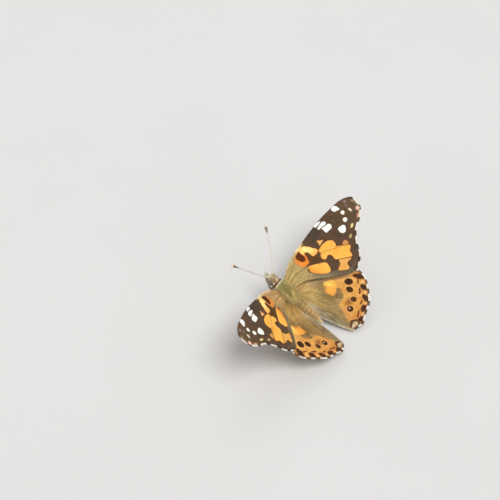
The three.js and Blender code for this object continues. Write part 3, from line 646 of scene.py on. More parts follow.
    # dashes between spots and margin
    for pts, w in (([[12.95, -15.35], [13.6, -15.0], [14.2, -14.65]], 0.17), ([[10.6, -17.05], [11.2, -16.85], [11.75, -16.5]], 0.24),
                   ([[8.15, -18.75], [8.7, -18.7], [9.15, -18.55]], 0.19), ([[4.5, -19.75], [5.3, -19.55], [6.0, -19.25]], 0.19)):
        c = over(c, rgb(96, 46, 24), stroke(x, y, pts, w, 0.1))
    # dark marks on the margin
    for pts in ([[14.35, -13.0], [15.0, -13.3], [15.5, -14.0], [15.95, -15.0], [15.95, -16.1], [15.4, -16.2], [14.9, -15.5], [14.45, -14.9], [14.3, -14.0]],
                [[12.75, -16.3], [13.35, -16.5], [13.5, -17.3], [13.45, -18.2], [13.0, -18.5], [12.5, -18.0], [12.2, -17.3], [12.4, -16.6]],
                [[10.3, -18.2], [10.95, -18.3], [10.85, -19.1], [10.6, -20.1], [10.2, -20.7], [9.6, -20.4], [9.4, -19.7], [9.8, -19.0]],
                [[6.6, -19.8], [7.4, -19.5], [8.2, -19.7], [8.3, -20.2], [7.9, -20.6], [7.4, -21.1], [6.9, -21.0], [6.5, -20.4]],
                [[3.9, -20.3], [4.6, -20.5], [5.1, -21.0], [4.9, -21.6], [4.2, -22.0], [3.7, -21.6], [3.6, -20.8]]):
        d = depth_in(x, y, pts)
        c = over(c, rgb(150, 92, 46), smooth(-0.55, -0.1, d) * 0.55)
        c = over(c, rgb(70, 44, 30), smooth(-0.24, 0.04, d))
    # pale orange cells of the margin
    for centre, half, tilt in (((14.1, -16.3), (0.7, 0.5), -50), ((11.75, -18.3), (0.6, 0.5), -50), ((9.0, -19.8), (0.55, 0.4), -20), ((6.0, -20.8), (0.6, 0.4), -10)):
        c = over(c, rgb(242, 190, 126), oval(x, y, centre, half, tilt, 0.3) * 0.75)
    # anal corner: dark bar over a lilac-grey lunule in a dark frame
    c = over(c, rgb(84, 58, 38), mark(x, y, [[0.9, -19.2], [1.6, -18.85], [2.4, -18.75], [3.0, -19.1], [3.5, -19.8], [3.6, -20.6], [3.3, -21.2], [2.2, -21.5],
                                             [0.9, -20.9], [0.5, -20.0]], 0.2))
    c = over(c, rgb(202, 176, 134), mark(x, y, [[1.0, -19.95], [1.7, -19.6], [2.6, -19.6], [3.1, -20.1], [3.0, -20.75], [2.3, -21.0], [1.4, -20.75]], 0.2) * 0.92)
    c = over(c, rgb(222, 212, 210), oval(x, y, (1.3, -20.15), (0.42, 0.3), 0, 0.2) * 0.75)
    rim, _ = line_distance(p, q, curve(HIND_TERMEN, False, 6))
    c = over(c, rgb(104, 66, 38), smooth(0.85, 0.7, rim) * smooth(0.4, 0.55, rim) * 0.7)
    for k, v in HIND_VEINS.items():
        s = stroke(p, q, v, 0.08, 0.08)
        c = over(c, rgb(178, 118, 60), s * (1 - hairy) * 0.35)
        c = over(c, rgb(124, 104, 66), s * hairy * 0.35)
    return np.clip(c, 0, 1)


def fore_under(p, q):
    """Below: rose and orange disc, black bars, white band and an olive-brown, finely marbled tip."""
    x, y = scale_edge(p, q, 83)
    mottle = fbm(p * 1.1, q * 1.1, 84)
    c = np.empty(p.shape + (3,))
    c[:] = rgb(226, 140, 96)
    c = over(c, rgb(236, 164, 120), np.clip(0.5 + mottle, 0, 1) * 0.7)
    c = over(c, rgb(238, 178, 104), smooth(-6.0, -9.0, q) * 0.8)
    c = over(c, rgb(222, 200, 156), smooth(2.0, 2.9, q + 0.05 * (p - 8)) * 0.9)
    # black patches as above
    bar = mark(x, y, [[9.6, 2.5], [9.5, 1.2], [9.7, 0.0], [10.4, -0.5], [11.1, 0.2], [11.4, 1.4], [11.5, 2.5]], 0.14)
    c = over(c, rgb(52, 38, 32), bar)
    c = over(c, rgb(48, 36, 30), mark(x, y, [[11.85, 0.5], [12.4, 0.1], [12.5, -1.4], [13.2, -2.4], [14.2, -2.9], [13.2, -3.7], [13.0, -4.9],
                                             [14.2, -5.6], [15.1, -6.2], [14.8, -7.6], [14.6, -9.2], [12.8, -9.4], [11.6, -8.2], [12.6, -6.4],
                                             [12.2, -4.8], [10.6, -2.6], [11.2, -1.4]], 0.2))
    c = over(c, rgb(50, 38, 32), mark(x, y, [[14.5, 2.6], [19.6, 2.0], [19.6, 0.0], [19.9, -2.4], [22.6, -3.0], [22.0, -4.4], [21.6, -6.6], [20.8, -7.2],
                                             [19.2, -5.4], [18.9, -4.0], [17.6, -2.6], [15.0, -2.0], [14.9, 0.0]], 0.25))
    c = over(c, rgb(64, 48, 40), mark(x, y, [[19.4, -7.2], [21.6, -7.0], [22.8, -9.0], [22.4, -10.6], [19.9, -12.9], [17.0, -13.8], [15.0, -13.6],
                                             [15.2, -12.0], [17.4, -11.6], [19.0, -10.2], [20.3, -9.6]], 0.25) * 0.8)
    # tip: olive-brown with pale marbling
    tip = smooth(21.8, 23.2, p + 0.5 * mottle + 0.18 * q)
    ground = over(np.broadcast_to(rgb(150, 122, 84), c.shape), rgb(186, 160, 118), np.clip(0.5 + 1.2 * fbm(p * 0.9, q * 0.9, 86), 0, 1))
    ground = over(ground, rgb(112, 88, 60), smooth(0.15, 0.5, fbm(p * 1.6, q * 1.6, 87)) * 0.7)
    c = over(c, ground, tip)
    for k, v in FORE_WHITE.items():
        if k != "big":
            c = over(c, WHITE, mark(x, y, v, 0.12))
    c = over(c, WHITE, mark(x, y, FORE_WHITE["big"], 0.12))
    for centre, r in (((27.3, -3.5), 0.62), ((25.9, -5.0), 0.66), ((25.2, -6.9), 0.5), ((23.2, -8.2), 0.5)):
        c = over(c, rgb(92, 70, 46), oval(x, y, centre, (r + 0.2, r + 0.2), 0, 0.12))
        c = over(c, rgb(240, 232, 206), oval(x, y, centre, (r, r), 0, 0.1))
        c = over(c, rgb(60, 70, 92), oval(x, y, centre, (r * 0.45, r * 0.45), 0, 0.12) * 0.9)
    rim, _ = line_distance(p, q, curve(FORE_TERMEN, False, 6))
    c = over(c, rgb(206, 196, 180), smooth(1.35, 1.15, rim) * smooth(0.85, 1.05, rim) * tip * 0.8)
    c = over(c, rgb(128, 100, 66), smooth(0.85, 0.6, rim) * 0.8)
    for k, v in FORE_VEINS.items():
        s = stroke(p, q, v, 0.08, 0.06)
        c = over(c, rgb(214, 186, 140), s * tip * 0.8)
        c = over(c, rgb(170, 96, 58), s * (1 - tip) * 0.4)
    return np.clip(c, 0, 1)


UNDER_EYES = [((12.15, -12.85), 1.0), ((10.25, -14.15), 0.74), ((8.3, -16.45), 0.62), ((5.4, -16.95), 1.02)]


def hind_under(p, q):
    """Below: olive, brown and cream marbling cut by white veins, and a row of eyespots near the margin."""
    x, y = scale_edge(p, q, 93, 0.09)
    root = np.hypot(p - 1.4, q + 2.2)
    turn = np.arctan2(-(q + 2.2), p - 1.4 + 1e-6)
    cloud = fbm(x * 0.62 + 3.1, y * 0.62, 95, 3)
    bands = np.sin(root * 1.55 + 1.8 * cloud + 0.8 * np.sin(turn * 7.0))
    c = np.empty(p.shape + (3,))
    c[:] = rgb(160, 134, 94)
    c = over(c, rgb(118, 94, 62), smooth(0.1, 0.55, bands))
    c = over(c, rgb(86, 68, 46), smooth(0.55, 0.9, bands) * 0.6)
    c = over(c, rgb(232, 222, 198), smooth(0.35, 0.8, -bands) * smooth(15.5, 13.0, root))
    c = over(c, rgb(196, 176, 136), smooth(0.1, 0.5, fbm(x * 1.3, y * 1.3, 97)) * 0.5)
    rim, _ = line_distance(p, q, curve(HIND_TERMEN, False, 6))
    c = over(c, rgb(206, 184, 142), smooth(6.6, 5.4, rim) * smooth(1.2, 2.0, rim) * 0.85)
    c = over(c, rgb(240, 232, 210), smooth(6.9, 6.3, rim + 0.3 * cloud) * smooth(5.6, 6.1, rim + 0.3 * cloud) * 0.8)
    for centre, r in UNDER_EYES:
        c = over(c, rgb(72, 54, 36), oval(x, y, centre, (r + 0.26, r + 0.26), 0, 0.1))
        c = over(c, rgb(222, 190, 112), oval(x, y, centre, (r + 0.08, r + 0.08), 0, 0.1))
        c = over(c, rgb(46, 36, 28), oval(x, y, centre, (r * 0.66, r * 0.66), 0, 0.12))
        c = over(c, rgb(104, 138, 168), oval(x, y, (centre[0] + 0.1, centre[1] + 0.1), (r * 0.4, r * 0.34), 30, 0.14) * 0.9)
    c = over(c, rgb(150, 158, 178), smooth(2.1, 1.9, rim) * smooth(1.5, 1.7, rim) * smooth(-0.2, 0.2, np.sin(turn * 46)) * 0.85)
    c = over(c, rgb(214, 160, 96), smooth(1.5, 1.3, rim) * 0.8)
    c = over(c, rgb(96, 74, 50), smooth(1.0, 0.8, rim) * smooth(0.6, 0.8, rim))
    for k, v in HIND_VEINS.items():
        c = over(c, rgb(236, 226, 202), stroke(p, q, v, 0.11, 0.07) * smooth(1.2, 2.0, rim) * 0.85)
    inner = smooth(1.6, 0.6, p + 0.3 * cloud)
    c = over(c, rgb(204, 194, 172), inner * 0.8)
    return np.clip(c, 0, 1)


# ------------------------------------------------------------------ wing meshes
def margin_cut(line, ends):
    """The membrane stops short of the fringe tips, a little more between veins than at them."""
    d = np.r_[0, np.cumsum(np.linalg.norm(np.diff(line, axis=0), axis=1))]
    nearest = np.full(len(line), 9.0)
    for e in ends:
        k = int(np.argmin(np.hypot(line[:, 0] - e[0], line[:, 1] - e[1])))
        nearest = np.minimum(nearest, np.abs(d - d[k]))
    t = smooth(0, 1, np.clip(d / 1.6, 0, 1)) * smooth(0, 1, np.clip((d[-1] - d) / 1.6, 0, 1))
    cut = (0.34 + 0.22 * smooth(0.2, 1.1, nearest)) * t
    tangent = np.gradient(line, axis=0)
    tangent /= np.linalg.norm(tangent, axis=1)[:, None]
    normal = np.stack([tangent[:, 1], -tangent[:, 0]], -1)      # inward where the line runs from the tip to the tornus
    return line + normal * cut[:, None], normal, nearest, cut


def patch_grid(costa, termen, inner, root, nu, nv, ends):
    """Four-sided net over the wing: along the wing and across it."""
    C = resample(curve(costa, False, 12), nu)
    I = resample(curve(inner, False, 12), nu)
    T = resample(curve(termen, False, 12), nv)
    R = resample(curve(root, False, 12), nv)
    T2, _, _, _ = margin_cut(T, ends)
    C, I = C.copy(), I.copy()
    # the cut falls to nothing at both corners, so the four sides still meet there
    u = np.linspace(0, 1, nu)[:, None, None]
    v = np.linspace(0, 1, nv)[None, :, None]
    corner = (1 - u) * (1 - v) * C[0] + u * (1 - v) * C[-1] + (1 - u) * v * I[0] + u * v * I[-1]
    return (1 - v) * C[:, None] + v * I[:, None] + (1 - u) * R[None] + u * T2[None] - corner


def vein_relief(p, q, veins):
    h = np.zeros(p.shape)
    for k, v in veins.items():
        w = 0.16 if k in ("Cu", "R", "Sc", "A") else 0.12
        d, _ = line_distance(p, q, curve(v, False, 5))
        h = np.maximum(h, np.exp(-(d / w) ** 2))
    return h


def make_wing(kind, spec, sides4, veins, paint_top, paint_under, ends, nu, nv):
    costa, termen, inner, root = sides4
    G = patch_grid(costa, termen, inner, root, nu, nv, ends)
    p, q = G[..., 0], G[..., 1]
    ridge = vein_relief(p, q, veins)
    nearest = vein_field(p, q, veins)
    billow = 0.05 * smooth(0.2, 1.4, nearest) - 0.03 + 0.02 * fbm(p * 0.8, q * 0.8, 5)
    edge = np.minimum.reduce([np.broadcast_to(np.arange(nu)[:, None], p.shape), nu - 1 - np.broadcast_to(np.arange(nu)[:, None], p.shape),
                              np.broadcast_to(np.arange(nv)[None], p.shape), nv - 1 - np.broadcast_to(np.arange(nv)[None], p.shape)])
    full = smooth(0, 3, edge)
    half = 0.02 + 0.05 * full
    top = 0.12 + billow * full + half + 0.045 * ridge * full
    low = 0.12 + billow * full - half - 0.03 * ridge * full
    ct, cu = paint_top(p, q), paint_under(p, q)
    n = nu * nv
    idx = np.arange(n).reshape(nu, nv)
    quad = np.stack([idx[:-1, :-1], idx[1:, :-1], idx[1:, 1:], idx[:-1, 1:]], -1).reshape(-1, 4)
    rim = np.concatenate([idx[:, 0], idx[-1, 1:], idx[-2::-1, -1], idx[0, -2:0:-1]])
    nxt = np.roll(rim, -1)
    wall = np.stack([rim, rim + n, nxt + n, nxt], -1)
    F = np.concatenate([quad[:, ::-1], quad + n, wall])
    uu = (np.arange(nu)[:, None] + 0.5) / nu * np.ones((1, nv))
    vv = (np.arange(nv)[None] + 0.5) / nv * np.ones((nu, 1))
    uv_top = np.stack([0.01 + 0.98 * uu, 0.005 + 0.485 * vv], -1).reshape(-1, 2)
    uv_low = uv_top + [0, 0.5]
    pieces = {}
    for side, name in ((1, "left"), (-1, "right")):
        V = np.concatenate([wing_place(spec, side, p, q, top).reshape(-1, 3), wing_place(spec, side, p, q, low).reshape(-1, 3)])
        FF = F if side > 0 else F[:, ::-1]
        plane = np.concatenate([np.stack([p, q, 0 * p], -1).reshape(-1, 3), np.stack([p + 60, q, 0 * p], -1).reshape(-1, 3)])
        wall_uv = np.stack([uv_top[rim], uv_top[rim], uv_top[nxt], uv_top[nxt]], 1).reshape(-1, 2)
        loops = np.concatenate([uv_top[quad[:, ::-1]].reshape(-1, 2), uv_low[quad].reshape(-1, 2), wall_uv])
        if side < 0:
            loops = loops.reshape(-1, 4, 2)[:, ::-1].reshape(-1, 2)
        # painted sheen: on the left wings the colour is multiplied by a sheen tint at the forewing base and on the
        # hindwing wool
        shade = np.clip(ct * (base_sheen_tint if kind == "forewing" else wool_sheen_tint)(side, p, q), 0, 1)
        ob = build(f"{kind}_{name}_scaled", V, FF, WING, np.concatenate([shade.reshape(-1, 3), cu.reshape(-1, 3)]), {"plane": plane}, loops)
        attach(ob, "root")
        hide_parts(f"{kind}_{name}")
        pieces[name] = ob
    return pieces


FORE_ENDS = [[32.4, -3.5], [31.3, -7.3], [27.9, -8.8], [24.2, -9.7], [21.2, -11.9], [18.3, -14.0], [15.3, -14.3]]
HIND_ENDS = [[16.6, -14.2], [14.9, -17.3], [12.6, -19.1], [9.4, -20.9], [6.9, -21.4], [3.7, -22.1], [1.4, -21.2]]
make_wing("forewing", FORE, (FORE_COSTA, FORE_TERMEN, FORE_INNER, FORE_ROOT), FORE_VEINS, fore_top, fore_under, FORE_ENDS,
          285, 150)
make_wing("hindwing", HIND, (HIND_COSTA, HIND_TERMEN, HIND_INNER, HIND_ROOT), HIND_VEINS, hind_top, hind_under, HIND_ENDS,
          210, 190)

# ------------------------------------------------------------------ the body line and its own frame
def body_line(s):
    c, d = math.cos(rad(BODY_PITCH)), math.sin(rad(BODY_PITCH))
    if s >= THORAX_REAR:
        return c * s, d * s, BODY_PITCH
    x = THORAX_REAR - s
    return (c * THORAX_REAR - math.cos(rad(ABDOMEN_PITCH)) * x, d * THORAX_REAR - math.sin(rad(ABDOMEN_PITCH)) * x, ABDOMEN_PITCH)


def on_body(P):
    """Where places lie on the body: station along it, height over its line, outward distance, angle round it."""
    out, fwd, up = P[:, 0], -P[:, 1] - BACK, P[:, 2] - STAND
    c, d = math.cos(rad(BODY_PITCH)), math.sin(rad(BODY_PITCH))
    s, v = fwd * c + up * d, -fwd * d + up * c
    f0, u0, _ = body_line(THORAX_REAR)
    c2, d2 = math.cos(rad(ABDOMEN_PITCH)), math.sin(rad(ABDOMEN_PITCH))
    s2, v2 = THORAX_REAR + (fwd - f0) * c2 + (up - u0) * d2, -(fwd - f0) * d2 + (up - u0) * c2
    behind = s < THORAX_REAR
    s, v = np.where(behind, s2, s), np.where(behind, v2, v)
    return s, v, out, np.arctan2(v, np.abs(out))


def loft(rings):
    """Closed skin over rings of equal count, with a middle point at each end."""
    n = len(rings[0])
    V = np.concatenate(list(rings) + [rings[0].mean(0)[None], rings[-1].mean(0)[None]])
    F = []
    i = np.arange(n)
    j = (i + 1) % n
    for r in range(len(rings) - 1):
        a, b, c, d = r * n + i, r * n + j, (r + 1) * n + i, (r + 1) * n + j
        F += [np.stack([a, b, d], -1), np.stack([a, d, c], -1)]
    s, e, last = len(rings) * n, len(rings) * n + 1, (len(rings) - 1) * n
    F += [np.stack([np.full(n, s), j, i], -1), np.stack([np.full(n, e), last + i, last + j], -1)]
    F = np.concatenate(F)
    vol = np.einsum("ij,ij->i", V[F[:, 0]], np.cross(V[F[:, 1]], V[F[:, 2]])).sum()
    return V, (F[:, ::-1] if vol < 0 else F)


def body_ring(s, width, above, below, sides=40):
    fwd, up, pitch = body_line(s)
    c, d = math.cos(rad(pitch)), math.sin(rad(pitch))
    w = np.arange(sides) / sides * 2 * math.pi
    v = np.sin(w) * np.where(np.sin(w) > 0, above, below)
    return at(1, width * np.cos(w), fwd - v * d, up + v * c)


def tube(points, radii, sides=14, steps=None, floor=None):
    """Round limb along a curve with rounded ends; radii are given at even steps along it."""
    line = resample(curve(points, False, 10), steps or max(12, 6 * len(points)))
    t = np.linspace(0, 1, len(line))
    r = np.interp(t, np.linspace(0, 1, len(radii)), radii)
    d = np.gradient(line, axis=0)
    d /= np.linalg.norm(d, axis=1)[:, None]
    side = np.cross(d, [0.0, 0.0, 1.0])
    side /= np.linalg.norm(side, axis=1)[:, None]
    other = np.cross(side, d)
    w = np.arange(sides) / sides * 2 * math.pi
    rings = []
    for a in (0.97, 0.75, 0.4):
        k = 0
        rings.append(line[k] - d[k] * r[k] * a + (np.cos(w)[:, None] * side[k] + np.sin(w)[:, None] * other[k]) * r[k] * math.sqrt(1 - a * a))
    for k in range(len(line)):
        rings.append(line[k] + (np.cos(w)[:, None] * side[k] + np.sin(w)[:, None] * other[k]) * r[k])
    for a in (0.4, 0.75, 0.97):
        k = -1
        rings.append(line[k] + d[k] * r[k] * a + (np.cos(w)[:, None] * side[k] + np.sin(w)[:, None] * other[k]) * r[k] * math.sqrt(1 - a * a))
    if floor is not None:
        rings = [np.concatenate([q[:, :2], np.maximum(q[:, 2:], floor)], 1) for q in rings]
    return loft(rings)


def ellipsoid(centre, half, pitch, rows=24, sides=36):
    c, s = math.cos(rad(pitch)), math.sin(rad(pitch))
    w = np.arange(sides) / sides * 2 * math.pi
    rings = []
    for k in np.linspace(0.02, 0.98, rows):
        a = k * math.pi
        x, f, u = np.cos(w) * math.sin(a), np.full(sides, math.cos(a)), np.sin(w) * math.sin(a)
        rings.append(np.stack([centre[0] + x * half[0], centre[1] - (f * half[1] * c - u * half[2] * s), centre[2] + f * half[1] * s + u * half[2] * c], -1))
    return loft(rings)


THORAX = [[-3.3, 1.16, 1.12, 1.2], [-2.8, 1.5, 1.42, 1.5], [-2.0, 1.82, 1.85, 1.85], [-1.0, 2.06, 2.2, 2.1], [0.1, 2.12, 2.36, 2.2],
          [1.1, 2.0, 2.2, 2.15], [1.9, 1.86, 1.84, 1.95], [2.4, 1.8, 1.62, 1.72], [2.8, 1.78, 1.44, 1.55], [3.2, 1.76, 1.34, 1.42], [3.5, 1.68, 1.24, 1.3],
          [3.62, 1.5, 1.1, 1.14]]
THORAX = np.array(THORAX)
LEGS = {
    "midleg": dict(hip=[1.0, 0.9, 5.2], knee=[4.1, 3.3, 5.0], ankle=[6.0, 4.9, 1.5], heel=[6.6, 5.5, 0.27], toe=[8.2, 7.3, 0.22]),
    "hindleg": dict(hip=[0.9, -1.25, 4.45], knee=[3.7, -3.9, 3.35], ankle=[4.9, -7.3, 1.35], heel=[5.2, -8.3, 0.27], toe=[5.9, -10.9, 0.22]),
}


def foot(side, place):
    out, fwd, z = place
    return np.array([side * out, -fwd - BACK, z])


def palp_line(side):
    return np.array([at(side, *v) for v in ((0.58, 4.95, 1.05), (0.64, 5.68, 1.3), (0.5, 6.18, 2.2), (0.38, 6.6, 3.25), (0.28, 7.0, 4.22))])


def foreleg_line(side):
    return np.array([at(side, *v) for v in ((0.75, 2.7, -1.15), (1.0, 3.6, -0.75), (0.95, 4.5, -0.15), (0.8, 5.2, 0.25))])


LIMBS = []                                   # (name, side, line)
for side in (1, -1):
    LIMBS.append(("palp", side, palp_line(side)))
    LIMBS.append(("foreleg", side, foreleg_line(side)))
    for leg, j in LEGS.items():
        hip, knee, ankle, heel, toe = (foot(side, j[k]) for k in ("hip", "knee", "ankle", "heel", "toe"))
        LIMBS.append((leg + "_femur", side, np.array([hip, (hip + knee) / 2 + [0, 0, 0.15], knee])))
        LIMBS.append((leg + "_tibia", side, np.array([knee, (knee + ankle) / 2 + [side * 0.1, 0, 0.1], ankle])))
        LIMBS.append((leg + "_tarsus", side, np.array([ankle, heel, (heel + toe) / 2, toe])))
LIMB_RADII = {"palp": [0.22, 0.28, 0.31, 0.3, 0.23, 0.1], "foreleg": [0.2, 0.24, 0.22, 0.16], "midleg_femur": [0.36, 0.34, 0.3, 0.26, 0.25],
              "midleg_tibia": [0.25, 0.21, 0.2, 0.2, 0.23], "midleg_tarsus": [0.2, 0.18, 0.19, 0.17, 0.19, 0.17, 0.19, 0.17, 0.19, 0.17, 0.2, 0.15],
              "hindleg_femur": [0.36, 0.34, 0.3, 0.26, 0.25], "hindleg_tibia": [0.25, 0.21, 0.2, 0.2, 0.23],
              "hindleg_tarsus": [0.2, 0.18, 0.19, 0.17, 0.19, 0.17, 0.19, 0.17, 0.19, 0.17, 0.2, 0.15]}


def abdomen_radius(t):
    swell = 1.02 + 0.2 * np.sin(math.pi * np.minimum(1, t * 1.25)) - 0.16 * t
    tip = np.sqrt(np.maximum(0.02, 1 - (smooth(0.55, 1.02, t) * 0.97) ** 2.2))
    return swell * tip - 0.06


def abdomen_fold(t):
    """Each ring of the abdomen overlaps the next with a low step."""
    k = (t * 8.0) % 1.0
    return 0.045 * (smooth(0.0, 0.75, k) - smooth(0.82, 1.0, k))


def body_skin():
    """One skin over head, thorax, abdomen, palps and legs, remeshed so that nothing shows where they join."""
    parts = []
    s = np.linspace(-3.3, 3.62, 44)
    deep = np.interp(s, [-3.3, -2.4, 0.0, 2.0, 2.8, 3.62], [0.1, 0.3, 0.42, 0.34, 0.32, 0.3])
    rows = [np.interp(s, THORAX[:, 0], THORAX[:, k]) for k in (1, 2, 3)]
    parts.append(loft([body_ring(a, w - d * 0.8, h - d, b - d * 0.8) for a, w, h, b, d in zip(s, *rows, deep)]))
    t = np.linspace(-0.08, 1, 120)
    rings = []
    for a in t:
        r = float(abdomen_radius(max(0.0, a))) + (float(abdomen_fold(a)) if 0 < a < 0.95 else 0.0)
        rings.append(body_ring(THORAX_REAR - 0.14 - a * (ABDOMEN_LENGTH - 0.14) + 0.0, r, r * 0.98, r * 1.05, 44))
    parts.append(loft(rings))
    fwd, up, _ = body_line(HEAD_CENTRE)
    parts.append(ellipsoid(at(1, 0, fwd - 0.16, up), [1.2, 1.12, 1.3], 24))
    parts.append(ellipsoid(at(1, 0, fwd + 0.1, up + 0.5), [0.78, 0.86, 0.82], 30))
    for side in (1, -1):
        parts.append(tube(np.array([at(side, 0.42, 4.55, 3.2), at(side, 0.53, 4.7, 3.72)]), [0.3, 0.24], steps=5))
    parts.append(loft([body_ring(a, w, 0.8 * w, 0.85 * w) for a, w in zip(np.linspace(3.2, 4.6, 10), np.linspace(1.36, 1.16, 10))]))
    for name, side, line in LIMBS:
        parts.append(tube(line, LIMB_RADII[name], steps=36 if "tarsus" in name else 22, floor=0.0 if "tarsus" in name else None))
    for side in (1, -1):
        parts.append(tube(np.array([at(side, 0.4, 2.0, -0.3), at(side, 0.6, 2.35, -0.8), at(side, 0.75, 2.75, -1.12)]), [0.42, 0.34, 0.24], steps=8))
        for leg, j in LEGS.items():
            hip, toe, heel, ankle = (foot(side, j[k]) for k in ("hip", "toe", "heel", "ankle"))
            parts.append(tube(np.array([hip * [0.35, 1, 1] + [0, 0, 0.5], hip]), [0.5, 0.42], steps=6))       # coxa
            d = (toe - heel) / np.linalg.norm(toe - heel)
            e = np.array([d[1], -d[0], 0.0])
            for k in (1, -1):                                                                               # claws
                parts.append(tube(np.array([toe + e * 0.06 * k, toe + d * 0.22 + e * 0.13 * k + [0, 0, 0.03], toe + d * 0.33 + e * 0.17 * k - [0, 0, 0.12]]),
                                  [0.085, 0.075, 0.05], sides=8, steps=8, floor=0.0))
    V = np.concatenate([v for v, f in parts])
    base = np.cumsum([0] + [len(v) for v, f in parts[:-1]])
    F = np.concatenate([f + b for (v, f), b in zip(parts, base)])
    me = bpy.data.meshes.new("skin_parts")
    me.from_pydata(V.tolist(), [], F.tolist())
    tmp = bpy.data.objects.new("skin_parts", me)
    bpy.context.scene.collection.objects.link(tmp)
    voxels = tmp.modifiers.new("whole", "REMESH")
    voxels.mode = "VOXEL"
    voxels.voxel_size = 0.063
    ease = tmp.modifiers.new("ease", "SMOOTH")
    ease.factor = 0.5
    ease.iterations = 3
    dg = bpy.context.evaluated_depsgraph_get()
    dg.update()
    whole = bpy.data.meshes.new_from_object(tmp.evaluated_get(dg))
    bpy.data.objects.remove(tmp)
    whole.calc_loop_triangles()
    V = np.empty(len(whole.vertices) * 3, np.float32)
    whole.vertices.foreach_get("co", V)
    N = np.empty(len(whole.vertices) * 3, np.float32)
    whole.vertices.foreach_get("normal", N)
    T = np.empty(len(whole.loop_triangles) * 3, np.int32)
    whole.loop_triangles.foreach_get("vertices", T)
    bpy.data.meshes.remove(whole)
    V, N, T = V.reshape(-1, 3).astype(float), N.reshape(-1, 3).astype(float), T.reshape(-1, 3)
    V[:, 2] = np.maximum(V[:, 2], 0.0)
    return V, N, T


def nearest_limb(P):
    """Index of the nearest limb, distance to its line, share along it and angle round it."""
    best = np.full(len(P), 1e9)
    which, along, angle = np.full(len(P), -1), np.zeros(len(P)), np.zeros(len(P))
    for i, (name, side, line) in enumerate(LIMBS):
        L = resample(curve(line, False, 6), 14)
        reach = np.abs(P - L.mean(0)).max(1) < np.ptp(L, axis=0).max() * 0.5 + 1.5
        if not reach.any():
            continue
        Q = P[reach]
        for k in range(len(L) - 1):
            d = L[k + 1] - L[k]
            u = np.clip(((Q - L[k]) @ d) / (d @ d), 0, 1)
            off = Q - L[k] - u[:, None] * d
            r = np.linalg.norm(off, axis=1)
            now = best[reach]
            m = r < now
            now[m] = r[m]
            best[reach] = now
            w, a, g = which[reach], along[reach], angle[reach]
            w[m] = i
            a[m] = (k + u[m]) / (len(L) - 1)
            x = np.cross(d, [0, 0, 1.0])
            x /= np.linalg.norm(x)
            y = np.cross(x, d / np.linalg.norm(d))
            g[m] = np.arctan2(off[m] @ y, off[m] @ x)
            which[reach], along[reach], angle[reach] = w, a, g
    return which, best, along, angle


def limb_mask(P, which, dist):
    """1 on legs and palps, 0 on the trunk and head."""
    s, v, out, w = on_body(P)
    names = np.array([n.split("_")[0] for n, _, _ in LIMBS] + ["none"])[which]
    near = smooth(0.62, 0.45, dist)
    trunk_r = np.interp(s, THORAX[:, 0], THORAX[:, 1])
    outside = smooth(0.72, 1.02, np.hypot(out, v) / np.maximum(0.4, trunk_r))
    outside = np.where(names == "palp", smooth(5.55, 6.0, s + 0.0 * v), outside)
    outside = np.where((s > 3.7) & (names != "palp") & (names != "foreleg"), 1.0, outside)
    return near * outside, names


